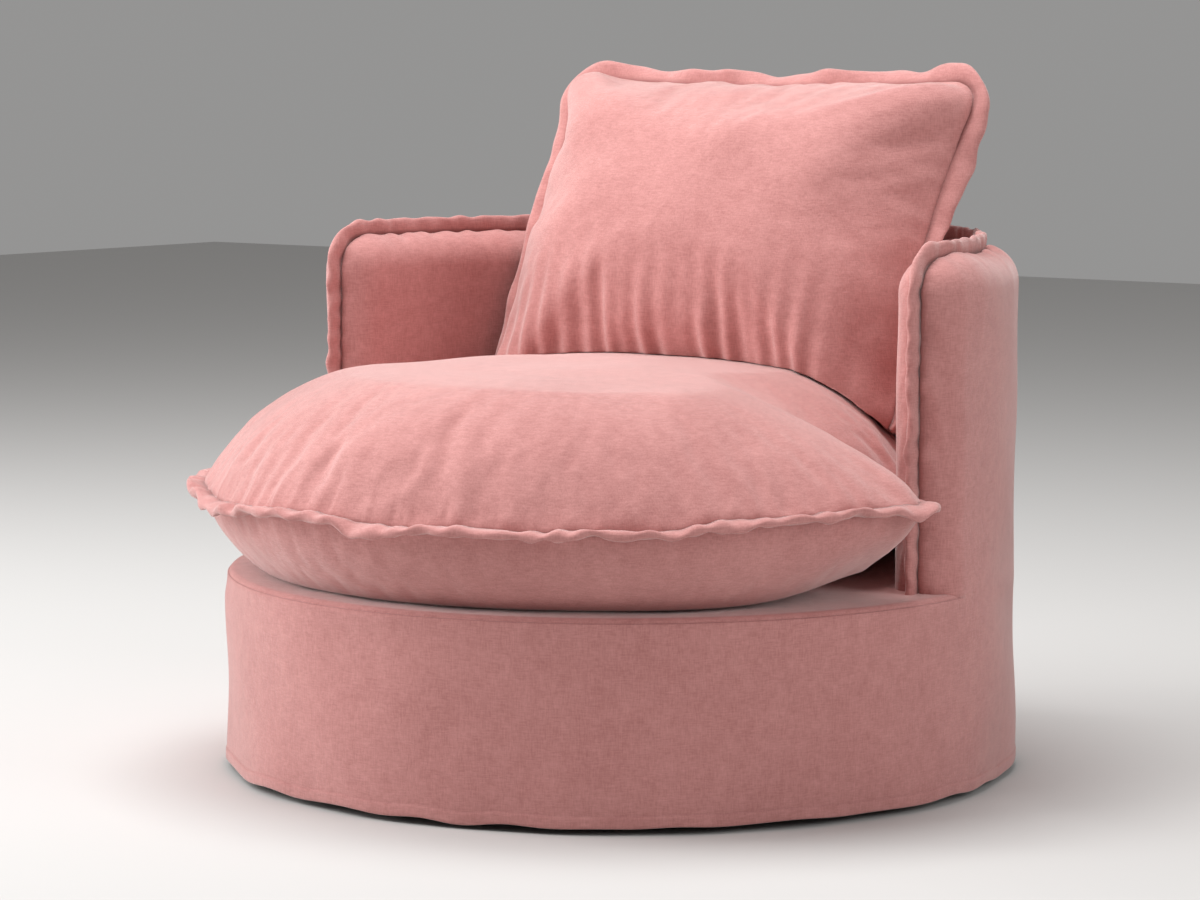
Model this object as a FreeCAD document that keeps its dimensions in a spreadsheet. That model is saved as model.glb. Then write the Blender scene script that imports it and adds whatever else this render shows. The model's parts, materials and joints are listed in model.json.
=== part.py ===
import FreeCAD, Part
import math
import os
import re

import Sketcher

# Round swivelling cuddle chair: an upholstered drum, a half circle of arm and
# back wall with a flanged edge, a loose seat cushion and a loose back cushion.
# Millimetres. +Z is up, the seat faces -Y, and the origin is on the floor at
# the middle of the drum, on the axis that the chair swivels about.

Vector = FreeCAD.Vector
Rotation = FreeCAD.Rotation

SIZES = [
    ("drum_radius", 500, "outside of the cover, at the drum and the wall"),
    ("wall_thickness", 90, "arm and back wall, cover to cover"),
    ("arm_height", 658, "crest of the wall, without its flange"),
    ("arm_end_angle", 3.2, "from the X axis to the arms' rounded fronts"),
    ("deck_height", 255, "top of the deck that the seat cushion lies on"),
    ("deck_edge_round", 8, "rounded rim of the deck, down to its seam"),
    ("rim_end_angle", 1.2, "from the X axis to the blunt ends of the deck's rim"),
    ("hem_gap", 8, "floor to the hem of the outer cover"),
    ("hem_turn", 6, "hem to the lowest board and padding"),
    ("cover_thickness", 2, "velvet with its backing"),
    ("padding_thickness", 17.5, "wadding on each side of the wooden wall"),
    ("flange_height", 18, "flange that stands on the wall's edge"),
    ("flange_thickness", 8, "the same, across"),
    ("board_thickness", 3, "bent boards that close the frame"),
    ("plywood_thickness", 18, "plinth, bottom board and seat ring"),
    ("post_width", 30, "posts, along the curve"),
    ("drum_post_count", 12, "posts under the seat ring"),
    ("wall_post_count", 7, "posts in the wall, between the arm fronts"),
    ("wall_post_start", 17, "from the X axis to the first wall post"),
    ("rail_depth", 20, "straight part of the top rail, below its round"),
    ("seat_ring_width", 102, "plywood ring that the webbing is fixed to"),
    ("webbing_width", 50, "one strap, across"),
    ("webbing_thickness", 2, "one strap"),
    ("webbing_pitch", 92, "from strap to strap"),
    ("webbing_count", 7, "straps each way"),
    ("webbing_lap", 34, "strap end on the seat ring"),
    ("deck_foam_thickness", 20, "foam over the webbing"),
    ("plinth_radius", 340, "recessed round foot"),
    ("floor_ring_width", 40, "rubber ring under the plinth"),
    ("floor_ring_thickness", 6, "the same, in height"),
    ("bearing_radius", 150, "circle of the bearing's balls"),
    ("ball_diameter", 6.35, "steel balls"),
    ("ball_count", 36, "balls in the bearing"),
    ("race_gap", 4, "between the two bearing rings"),
    ("race_width", 38, "each bearing ring, across"),
    ("race_thickness", 8, "each bearing ring"),
    ("race_step", 2, "upper ring above the lower one"),
    ("groove_play", 0.13, "ball to groove"),
    ("cage_thickness", 2.6, "ring that keeps the balls apart, across"),
    ("cage_depth", 8, "the same, in height"),
    ("dust_cover_thickness", 1, "cloth under the bottom board"),
    ("dust_cover_inner", 205, "its hole, round the bearing"),
    ("screw_head", 8, "head of a countersunk screw, across"),
    ("screw_shank", 4, "its shank, across"),
    ("race_screw_count", 8, "screws in each bearing ring"),
    ("race_screw_length", 15, "the same"),
    ("post_screw_length", 50, "screws up into the drum posts"),
    ("screw_play", 0.15, "screw to hole"),
    ("seat_overhang", 30, "seat cushion's seam past the drum, in front"),
    ("seat_side_gap", 25, "seat cushion's seam to the wall, between the arms"),
    ("seat_ear_gap", 17, "seat cushion's ears to the arms' flanges"),
    ("seat_ear_round", 32, "outer corners of the ears"),
    ("seat_notch_round", 35, "inner corners behind the ears"),
    ("seat_lower_depth", 107, "seam to the underside of the seat cushion"),
    ("seat_crown", 138, "seam to the crown of the seat cushion"),
    ("seat_crown_forward", 110, "crown's middle, in front of the drum's"),
    ("seat_flange_width", 20, "flange round the seat cushion"),
    ("seat_flange_thickness", 6, "the same, in height"),
    ("seat_core_inset", 50, "seat cushion's rear seam to its round foam core"),
    ("seat_core_low", 22, "underside of the cushion to its core"),
    ("seat_core_side", 120, "upright side of the core"),
    ("seat_core_crown", 45, "rise of the core from its side to its middle"),
    ("seat_core_round", 30, "rounded edges of the core"),
    ("back_half_width", 322, "back cushion, middle to side seam"),
    ("back_half_height", 228, "back cushion, middle to top seam"),
    ("back_crown", 115, "back cushion, middle to the front panel's crown"),
    ("back_rear_crown", 134, "the same to the rear panel's, which the wall carries"),
    ("back_corner_round", 38, "back cushion's corners"),
    ("back_draw", 12, "how far the seams pull in between the corners"),
    ("back_flange_width", 22, "flange round the back cushion"),
    ("back_flange_thickness", 6, "the same, across"),
    ("back_recline", 28.4, "back cushion, from upright"),
    ("back_rise", 164, "seat crown up to the back cushion's middle"),
    ("back_forward", 175, "wall's inside to the back cushion's middle"),
    ("pad_side", 60, "back cushion's side and top seams to its inner pad"),
    ("pad_rise", 105, "bottom seam to the inner pad"),
    ("pad_thickness", 120, "inner pad of the back cushion"),
    ("pad_round", 45, "rounded edges of the inner pad"),
    ("zip_half_angle", 34, "zip, from its middle to an end"),
    ("zip_width", 22, "zip tape, up the lower panel"),
    ("zip_thickness", 1.4, "tape with its teeth"),
    ("slider_width", 11, "zip slider, up the lower panel"),
    ("slider_length", 13, "zip slider, along the zip"),
    ("slider_thickness", 3, "zip slider, off the tape"),
    ("fit", 0.3, "clearance between layers that don't touch"),
]

NAMES = {name for name, value, note in SIZES}

# Formulas that several pieces share, in the sheet's names.

HALF = "(wall_thickness / 2)"
MIDDLE = f"(drum_radius - {HALF})"
ROUND = f"(arm_height - {HALF})"
LINING = f"({HALF} - cover_thickness)"
CORE = f"({LINING} - padding_thickness)"
POST = f"({CORE} - board_thickness)"
FRAME_RADIUS = f"({MIDDLE} + {POST} - fit)"

HEM = "hem_gap"
BOARD_EDGE = "(hem_gap + hem_turn)"
PLINTH_TOP = "(floor_ring_thickness + plywood_thickness)"
FLOOR_LOW = f"({PLINTH_TOP} + race_thickness + race_step)"
FLOOR_TOP = f"({FLOOR_LOW} + plywood_thickness)"
DECK_LOW = "(deck_height - cover_thickness)"
SEAM = "(deck_height - deck_edge_round)"
WEBBING_TOP = f"({DECK_LOW} - deck_foam_thickness)"
RING_TOP = f"({WEBBING_TOP} - 2 * webbing_thickness)"
RING_LOW = f"({RING_TOP} - plywood_thickness)"
RAIL_LOW = f"({ROUND} - rail_depth)"
SEAT_LOW = "(deck_height + fit)"
SEAT_SEAM = f"({SEAT_LOW} + seat_lower_depth)"
WALL_SWEEP = "(180 - 2 * arm_end_angle)"
CORE_RADIUS = f"({MIDDLE} - {HALF} - seat_side_gap - seat_core_inset)"

RACE_IN = "(bearing_radius - race_gap / 2)"
RACE_OUT = "(bearing_radius + race_gap / 2)"
BALL_LEVEL = f"({PLINTH_TOP} + (race_thickness + race_step) / 2)"
GROOVE = "(ball_diameter / 2 + groove_play)"
GROOVE_RISE = f"sqrt({GROOVE} ^ 2 - (race_gap / 2) ^ 2)"
LOWER_SCREWS = f"({RACE_OUT} + race_width / 2)"
UPPER_SCREWS = f"({RACE_IN} - race_width / 2)"


def bound(formula):
    """The formula with each size's name pointing at its cell in the sheet."""
    return re.sub(r"[a-z_]+", lambda word: "Sizes." + word.group(0)
                  if word.group(0) in NAMES else word.group(0), formula)


def size(formula):
    """What the formula comes to with the sheet's values."""
    return float(sheet.evalExpression(bound(formula)))


def bind(thing, prop, formula):
    thing.setExpression(prop, bound(formula))


def pin(sketch, kind, geometry, point, formula):
    """Hold one point of the sketch at a distance from its origin."""
    rule = Sketcher.Constraint(kind, -1, 1, geometry, point, size(formula))
    index = sketch.addConstraint(rule)
    bind(sketch, f"Constraints[{index}]", formula)


def draw(sketch, outline):
    """Draw a closed outline and pin its corners to the sheet.

    A corner is (x, y) where a line leads on to the next corner, and
    (x, y, centre x, centre y, turn) where an arc does, turn being 1 for
    anticlockwise and -1 for clockwise.
    """
    count = len(outline)
    corners = [Vector(size(spot[0]), size(spot[1]), 0) for spot in outline]
    for number, spot in enumerate(outline):
        here = corners[number]
        there = corners[(number + 1) % count]
        if len(spot) == 2:
            sketch.addGeometry(Part.LineSegment(here, there))
            continue
        middle = Vector(size(spot[2]), size(spot[3]), 0)
        first, last = (here, there) if spot[4] > 0 else (there, here)
        begin = math.atan2(first.y - middle.y, first.x - middle.x)
        finish = math.atan2(last.y - middle.y, last.x - middle.x)
        if finish <= begin:
            finish += 2 * math.pi
        circle = Part.Circle(middle, Vector(0, 0, 1), (here - middle).Length)
        sketch.addGeometry(Part.ArcOfCircle(circle, begin, finish))
    starts = [2 if len(spot) == 5 and spot[4] < 0 else 1 for spot in outline]
    for number in range(count):
        after = (number + 1) % count
        sketch.addConstraint(Sketcher.Constraint(
            "Coincident", number, 3 - starts[number], after, starts[after]))
    for number, spot in enumerate(outline):
        pin(sketch, "DistanceX", number, starts[number], spot[0])
        pin(sketch, "DistanceY", number, starts[number], spot[1])
        if len(spot) == 5:
            run = corners[(number + 1) % count] - corners[number]
            if abs(run.x) >= abs(run.y):
                pin(sketch, "DistanceY", number, 3, spot[3])
            else:
                pin(sketch, "DistanceX", number, 3, spot[2])


def add_axis(sketch, place):
    """An upright construction line at this distance from the sketch's origin."""
    x = size(place)
    line = sketch.addGeometry(Part.LineSegment(Vector(x, 0, 0), Vector(x, 10, 0)), True)
    sketch.addConstraint(Sketcher.Constraint("Vertical", line))
    pin(sketch, "DistanceX", line, 1, place)
    pin(sketch, "DistanceY", line, 1, "0")
    sketch.addConstraint(Sketcher.Constraint("DistanceY", line, 1, line, 2, 10))


def new_body(label):
    made = doc.addObject("PartDesign::Body", label)
    made.Label = label
    return made


def origin_feature(body, role):
    return next(part for part in body.Origin.OriginFeatures if part.Role == role)


def new_sketch(body, name, role, outline):
    """A sketch on one of the body's own planes, with a closed outline in it."""
    sketch = body.newObject("Sketcher::SketchObject", f"{body.Name}_{name}")
    sketch.AttachmentSupport = (origin_feature(body, role), [""])
    sketch.MapMode = "FlatFace"
    if outline:
        draw(sketch, outline)
    return sketch


def repeat(body, feature, count, sweep="360"):
    """Repeat a feature round the Z axis; from end to end if sweep isn't 360."""
    pattern = body.newObject("PartDesign::PolarPattern", feature.Name + "_round")
    pattern.Originals = [feature]
    pattern.Axis = (origin_feature(body, "Z_Axis"), [""])
    bind(pattern, "Angle", sweep)
    bind(pattern, "Occurrences", count)
    body.Tip = pattern
    doc.recompute()
    return pattern


def turned(label, outline, sweep=None):
    """A body turned about the Z axis; a part turn is centred on +Y."""
    body = new_body(label)
    sketch = new_sketch(body, "outline", "YZ_Plane", outline)
    turn = body.newObject("PartDesign::Revolution", label + "_turn")
    turn.Profile = sketch
    turn.ReferenceAxis = (sketch, ["V_Axis"])
    if sweep:
        turn.Midplane = True
        bind(turn, "Angle", sweep)
    else:
        turn.Angle = 360
    doc.recompute()
    return body


def ring(label, inner, outer, low, high, sweep=None):
    return turned(label, [(inner, low), (outer, low), (outer, high), (inner, high)], sweep)


def studs(label, place, outline, count):
    """Small turned pieces, each about its own upright axis, in a circle."""
    body = new_body(label)
    sketch = new_sketch(body, "outline", "XZ_Plane", outline)
    add_axis(sketch, place)
    turn = body.newObject("PartDesign::Revolution", label + "_turn")
    turn.Profile = sketch
    turn.ReferenceAxis = (sketch, ["Axis0"])
    turn.Angle = 360
    doc.recompute()
    repeat(body, turn, count)
    return body


def bore(body, name, place, outline, count):
    """Cut a circle of turned holes, each about its own upright axis."""
    before = body.Shape.Volume
    sketch = new_sketch(body, name, "XZ_Plane", outline)
    add_axis(sketch, place)
    groove = body.newObject("PartDesign::Groove", f"{body.Name}_{name}_cut")
    groove.Profile = sketch
    groove.ReferenceAxis = (sketch, ["Axis0"])
    groove.Angle = 360
    doc.recompute()
    repeat(body, groove, count)
    if body.Shape.Volume > before - 1:
        raise RuntimeError(f"{body.Label}: {name} cut nothing")


def screw_outline(place, face, length, way, play="0"):
    """Half the outline of a countersunk screw whose head lies in a face.

    way is -1 where the screw points down and 1 where it points up.
    """
    head = f"({place} + screw_head / 2 + {play})"
    shank = f"({place} + screw_shank / 2 + {play})"
    taper = "(screw_head - screw_shank) / 2"
    return [
        (place, face),
        (head, face),
        (shank, f"{face} + {way} * ({taper})"),
        (shank, f"{face} + {way} * ({length} - screw_shank / 2 + {play})"),
        (place, f"{face} + {way} * ({length} + {play})"),
    ]


def posts(label, inner, outer, low, high, count, sweep="360", start="0"):
    """Upright posts of one width, in a circle or part of one."""
    body = new_body(label)
    width = "post_width / 2"
    sketch = new_sketch(body, "section", "XY_Plane", [
        (inner, f"-{width}"), (outer, f"-{width}"), (outer, width), (inner, width)])
    bind(sketch, "AttachmentOffset.Base.z", low)
    pad = body.newObject("PartDesign::Pad", label + "_pad")
    pad.Profile = sketch
    bind(pad, "Length", f"{high} - {low}")
    doc.recompute()
    repeat(body, pad, count, sweep)
    body.Placement = FreeCAD.Placement(Vector(0, 0, 0), Rotation(Vector(0, 0, 1), 0.001))
    bind(body, "Placement.Rotation.Angle", start)
    return body


def loose_sketch(name, outline, rotation):
    sketch = doc.addObject("Sketcher::SketchObject", name)
    draw(sketch, outline)
    sketch.Placement = FreeCAD.Placement(Vector(0, 0, 0), rotation)
    return sketch


def nose_pair(name, half, low):
    """The rounded fronts of the two arms: half domes on half round posts."""
    outline = [("0", low), (half, low), (half, ROUND, "0", ROUND, 1), ("0", f"{ROUND} + {half}")]
    upright = Rotation(Vector(1, 0, 0), 90)
    nose = doc.addObject("Part::Revolution", name + "_right")
    nose.Source = loose_sketch(name + "_outline", outline, upright)
    nose.Axis = Vector(0, 0, -1)
    nose.Angle = 180
    nose.Solid = True
    nose.Placement = FreeCAD.Placement(Vector(1, 1, 0), Rotation(Vector(0, 0, 1), 1))
    bind(nose, "Placement.Base.x", f"{MIDDLE} * cos(arm_end_angle)")
    bind(nose, "Placement.Base.y", f"{MIDDLE} * sin(arm_end_angle)")
    bind(nose, "Placement.Rotation.Angle", "arm_end_angle")
    other = doc.addObject("Part::Mirroring", name + "_left")
    other.Source = nose
    other.Normal = Vector(1, 0, 0)
    return nose, other


def wall_form(name, half, low):
    """The wall's whole form at half a thickness: a round-topped arc with noses."""
    outline = [
        (f"{MIDDLE} - {half}", low),
        (f"{MIDDLE} + {half}", low),
        (f"{MIDDLE} + {half}", ROUND, MIDDLE, ROUND, 1),
        (f"{MIDDLE} - {half}", ROUND),
    ]
    arc = doc.addObject("Part::Revolution", name + "_arc")
    arc.Source = loose_sketch(name + "_section", outline, Rotation(Vector(1, 1, 1), 120))
    arc.Axis = Vector(0, 0, 1)
    arc.Symmetric = True
    arc.Solid = True
    bind(arc, "Angle", WALL_SWEEP)
    whole = doc.addObject("Part::MultiFuse", name)
    whole.Shapes = [arc, *nose_pair(name + "_nose", half, low)]
    return whole


def cylinder(name, radius, low, high):
    made = doc.addObject("Part::Cylinder", name)
    bind(made, "Radius", radius)
    bind(made, "Height", f"{high} - {low}")
    bind(made, "Placement.Base.z", low)
    return made


def joined(kind, label, base, tool):
    """A Part::Cut or Part::Common of two objects."""
    made = doc.addObject(kind, label)
    made.Label = label
    made.Base = base
    made.Tool = tool
    return made


def group(kind, label, shapes):
    """A Part::MultiFuse or Part::Compound of objects."""
    made = doc.addObject(kind, label)
    made.Label = label
    if kind == "Part::Compound":
        made.Links = shapes
    else:
        made.Shapes = shapes
    return made


def straps(label, along_x, low):
    """Parallel straps, trimmed by the circle that they are fixed in."""
    reach = f"({FRAME_RADIUS} - seat_ring_width + webbing_lap)"
    boxes = []
    count = round(size("webbing_count"))
    for number in range(count):
        box = doc.addObject("Part::Box", f"{label}_strap_{number + 1}")
        run, across = ("Length", "Width") if along_x else ("Width", "Length")
        at_run, at_across = ("x", "y") if along_x else ("y", "x")
        bind(box, run, f"2 * {reach}")
        bind(box, across, "webbing_width")
        bind(box, "Height", "webbing_thickness")
        bind(box, f"Placement.Base.{at_run}", f"-{reach}")
        bind(box, f"Placement.Base.{at_across}",
             f"({number} - (webbing_count - 1) / 2) * webbing_pitch - webbing_width / 2")
        bind(box, "Placement.Base.z", low)
        boxes.append(box)
    layer = group("Part::Compound", label + "_layer", boxes)
    trim = cylinder(label + "_trim", reach, low, f"({low} + webbing_thickness)")
    return joined("Part::Common", label, layer, trim)


def solid_part(label, shape):
    """A piece whose form is worked out here, in a document object of its own."""
    made = doc.addObject("Part::Feature", label)
    made.Label = label
    made.Shape = shape
    made.Placement = FreeCAD.Placement()
    return made


# The loose cushions. A cushion is two crowned panels that meet in a seam. Each
# panel is a loft through closed outlines of arcs. A level of a panel is how
# large its outline is, as a share of the seam's, how far it stands off the
# seam, as a share of the panel's depth, and how round it has become, from 0,
# the seam's outline, to 1, an ellipse.

SEAT_TOP_LEVELS = [
    (1.0, 0.0, 0.0), (0.985, 0.15, 0.0), (0.965, 0.32, 0.05), (0.93, 0.49, 0.12),
    (0.87, 0.64, 0.25), (0.78, 0.77, 0.45), (0.62, 0.89, 0.75), (0.42, 0.965, 1.0),
    (0.24, 1.0, 1.0),
]
SEAT_LOWER_LEVELS = [
    (1.0, 0.0, 0.0), (0.985, 0.2, 0.0), (0.955, 0.46, 0.0), (0.91, 0.72, 0.0), (0.84, 1.0, 0.0),
]
BACK_LEVELS = [
    (1.0, 0.0, 0.0), (0.985, 0.15, 0.0), (0.96, 0.32, 0.03), (0.92, 0.49, 0.1),
    (0.85, 0.65, 0.22), (0.74, 0.79, 0.45), (0.58, 0.905, 0.7), (0.4, 0.97, 0.9),
    (0.22, 1.0, 1.0),
]
ZIP_LEVEL = 2
LEAST_ROUND = 8


def turned_point(centre, radius, degrees):
    angle = math.radians(degrees)
    return Vector(centre[0] + radius * math.cos(angle), centre[1] + radius * math.sin(angle), 0)


def direction(spot):
    return math.degrees(math.atan2(spot[1], spot[0]))


def seat_outline(inset):
    """Seam of the seat cushion seen from above, as (start, middle) of each arc.

    It goes anticlockwise from the front. The front is a circle about the
    drum's axis that overhangs the drum, the ears turn in ahead of the arms,
    and the rear is a smaller circle that fits between them.
    """
    front = size("drum_radius + seat_overhang") - inset
    rear = size(f"{MIDDLE} - {HALF} - seat_side_gap") - inset
    arm_tip = size(f"{MIDDLE} * sin(arm_end_angle) - {HALF} - flange_height")
    edge = arm_tip - size("seat_flange_width + seat_ear_gap") - inset
    ear_round = max(size("seat_ear_round") - inset, LEAST_ROUND)
    notch_round = max(size("seat_notch_round") + inset, LEAST_ROUND)
    ear = (math.sqrt((front - ear_round) ** 2 - (edge - ear_round) ** 2), edge - ear_round)
    notch = (math.sqrt((rear + notch_round) ** 2 - (edge + notch_round) ** 2), edge + notch_round)
    ear_start = direction(ear)
    notch_end = direction(notch)
    centre = (0, 0)
    side = 0.5 * (ear_start - 90)
    rear_half = 0.5 * (notch_end + 90)
    right = [
        (turned_point(centre, front, -90), turned_point(centre, front, 0.5 * (side - 90))),
        (turned_point(centre, front, side), turned_point(centre, front, 0.5 * (side + ear_start))),
        (turned_point(ear, ear_round, ear_start), turned_point(ear, ear_round, 0.5 * (ear_start + 90))),
        (Vector(ear[0], edge, 0), Vector(0.5 * (ear[0] + notch[0]), edge, 0)),
        (Vector(notch[0], edge, 0),
         turned_point(notch, notch_round, 0.5 * (notch_end + 180 + 270))),
        (turned_point(centre, rear, notch_end),
         turned_point(centre, rear, 0.5 * (notch_end + rear_half))),
        (turned_point(centre, rear, rear_half), turned_point(centre, rear, 0.5 * (rear_half + 90))),
    ]
    top = turned_point(centre, rear, 90)
    starts = [start for start, middle in right] + [top]
    middles = [middle for start, middle in right]
    for start in reversed(starts[1:-1]):
        starts.append(Vector(-start.x, start.y, 0))
    for middle in reversed(middles[:]):
        middles.append(Vector(-middle.x, middle.y, 0))
    return list(zip(starts, middles))


def back_outline(inset):
    """Seam of the back cushion in its own plane, as (start, middle) of each arc.

    It goes anticlockwise: four sides that pull in between rounded corners.
    """
    wide = size("back_half_width") - inset
    tall = size("back_half_height") - inset
    draw_in = size("back_draw")
    corner = max(size("back_corner_round") - inset, LEAST_ROUND)
    cut = corner * (1 - math.sqrt(0.5))
    right = Vector(wide, corner - tall, 0), Vector(wide - draw_in, 0, 0)
    upper_right = Vector(wide, tall - corner, 0), Vector(wide - cut, tall - cut, 0)
    top = Vector(wide - corner, tall, 0), Vector(0, tall - draw_in, 0)
    upper_left = Vector(corner - wide, tall, 0), Vector(cut - wide, tall - cut, 0)
    first_half = [right, upper_right, top, upper_left]
    return first_half + [(-start, -middle) for start, middle in first_half]


def wire_through(spots, height):
    """A closed wire through arcs, each given by its start and its middle."""
    edges = []
    for number, (start, middle) in enumerate(spots):
        end = spots[(number + 1) % len(spots)][0]
        points = [Vector(spot.x, spot.y, height) for spot in (start, middle, end)]
        if (points[1] - points[0]).cross(points[2] - points[0]).Length < 1e-3:
            edges.append(Part.LineSegment(points[0], points[2]).toShape())
        else:
            edges.append(Part.Arc(*points).toShape())
    return Part.Wire(edges)


def panel(spots, levels, seam, depth, centre, wide, tall):
    """One crowned panel as a loft from the seam to its highest level."""
    wires = []
    for share, rise, roundness in levels:
        level = []
        for pair in spots:
            moved = []
            for spot in pair:
                arm = spot - centre
                reach = 1 / math.hypot(arm.x / wide, arm.y / tall)
                bent = arm * (1 - roundness + roundness * reach)
                moved.append(centre + bent * share)
            level.append(tuple(moved))
        wires.append(wire_through(level, seam + depth * rise))
    return Part.makeLoft(wires, True, False)


def seat_panel(levels, depth, inset):
    """The seat cushion's upper or lower half, this far inside its cover."""
    centre = Vector(0, -size("seat_crown_forward"), 0)
    wide = size(MIDDLE) - inset
    return panel(seat_outline(inset), levels, size(SEAT_SEAM), depth, centre, wide, wide)


def seat_upper(inset):
    return seat_panel(SEAT_TOP_LEVELS, size("seat_crown") - inset, inset)


def seat_lower(inset):
    return seat_panel(SEAT_LOWER_LEVELS, inset - size("seat_lower_depth"), inset)


def seat_form(inset):
    """The seat cushion's solid, this far inside its cover's outer face."""
    return seat_upper(inset).fuse(seat_lower(inset))


def back_form(inset):
    """The back cushion's solid in its own frame, this far inside its cover."""
    spots = back_outline(inset)
    centre = Vector(0, 0, 0)
    wide = size("back_half_width") - inset
    tall = size("back_half_height") - inset
    front = panel(spots, BACK_LEVELS, 0, size("back_crown") - inset, centre, wide, tall)
    rear = panel(spots, BACK_LEVELS, 0, inset - size("back_rear_crown"), centre, wide, tall)
    return front.fuse(rear)


def back_place():
    """Where the back cushion's own frame stands: leaning against the wall."""
    crown = size(f"{SEAT_SEAM} + seat_crown")
    middle = Vector(0, size(f"{MIDDLE} - {HALF} - back_forward"), crown + size("back_rise"))
    return FreeCAD.Placement(middle, Rotation(Vector(1, 0, 0), 90 - size("back_recline")))


def settled(shape, inset):
    """A back cushion solid pressed down onto the seat cushion below it."""
    placed = shape.copy()
    placed.Placement = back_place()
    return placed.cut(seat_upper(-inset - size("fit")))


def flat_band(spots, level, thickness):
    """A flat plate with the outline of a seam, centred on this level."""
    wire = wire_through(spots, level - thickness / 2)
    return Part.Face(wire).extrude(Vector(0, 0, thickness))


def zip_patch(inner, outer, width, half_angle, shift):
    """A thin piece that follows the seat cushion's lower panel at the rear.

    inner and outer are how far its two faces stand off the cover, width is
    its size up the panel, and half_angle and shift place it round the rear.
    """
    share, rise, roundness = SEAT_LOWER_LEVELS[ZIP_LEVEL]
    level = size(SEAT_SEAM) - rise * size("seat_lower_depth")
    skin = seat_lower(-outer).cut(seat_lower(-inner))
    reach = size(MIDDLE)
    sector = Part.makeCylinder(reach, width, Vector(0, 0, level - width / 2),
                               Vector(0, 0, 1), 2 * half_angle)
    sector.rotate(Vector(0, 0, 0), Vector(0, 0, 1), 90 - half_angle + shift)
    return skin.common(sector)


def make_base():
    """The foot that stands still: rubber ring, plinth and lower bearing ring."""
    inner = "(plinth_radius - floor_ring_width)"
    ring("floor_ring", inner, "plinth_radius", "0", "floor_ring_thickness")
    plinth = turned("plinth_disc", [
        ("0", "floor_ring_thickness"), ("plinth_radius", "floor_ring_thickness"),
        ("plinth_radius", PLINTH_TOP), ("0", PLINTH_TOP)])
    race_top = f"({PLINTH_TOP} + race_thickness)"
    outer = f"({RACE_OUT} + race_width)"
    lower = turned("lower_race", [
        (RACE_OUT, PLINTH_TOP),
        (RACE_OUT, f"{BALL_LEVEL} - {GROOVE_RISE}", "bearing_radius", BALL_LEVEL, 1),
        (RACE_OUT, f"{BALL_LEVEL} + {GROOVE_RISE}"),
        (RACE_OUT, race_top),
        (outer, race_top),
        (outer, PLINTH_TOP)])
    for body in (lower, plinth):
        hole = screw_outline(LOWER_SCREWS, race_top, "race_screw_length", -1, "screw_play")
        bore(body, "screw_holes", LOWER_SCREWS, hole, "race_screw_count")
    studs("lower_race_screws", LOWER_SCREWS,
          screw_outline(LOWER_SCREWS, race_top, "race_screw_length", -1), "race_screw_count")


def make_bearing():
    """The balls and the ring that keeps them apart."""
    radius = "ball_diameter / 2"
    studs("bearing_balls", "bearing_radius", [
        ("bearing_radius", f"{BALL_LEVEL} - {radius}", "bearing_radius", BALL_LEVEL, 1),
        ("bearing_radius", f"{BALL_LEVEL} + {radius}")], "ball_count")
    cage = ring("ball_cage", "(bearing_radius - cage_thickness / 2)",
                "(bearing_radius + cage_thickness / 2)",
                f"({BALL_LEVEL} - cage_depth / 2)", f"({BALL_LEVEL} + cage_depth / 2)")
    before = cage.Shape.Volume
    hole = new_sketch(cage, "hole", "YZ_Plane", None)
    bind(hole, "AttachmentOffset.Base.z", "bearing_radius - cage_thickness")
    circle = hole.addGeometry(Part.Circle(Vector(0, size(BALL_LEVEL), 0), Vector(0, 0, 1),
                                          size(GROOVE)))
    hole.addConstraint(Sketcher.Constraint("PointOnObject", circle, 3, -2))
    pin(hole, "DistanceY", circle, 3, BALL_LEVEL)
    index = hole.addConstraint(Sketcher.Constraint("Radius", circle, size(GROOVE)))
    bind(hole, f"Constraints[{index}]", GROOVE)
    pocket = cage.newObject("PartDesign::Pocket", "ball_cage_pocket")
    pocket.Profile = hole
    pocket.Reversed = True
    bind(pocket, "Length", "2 * cage_thickness")
    doc.recompute()
    repeat(cage, pocket, "ball_count")
    if cage.Shape.Volume > before - 1:
        raise RuntimeError("ball_cage: the holes cut nothing")


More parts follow.
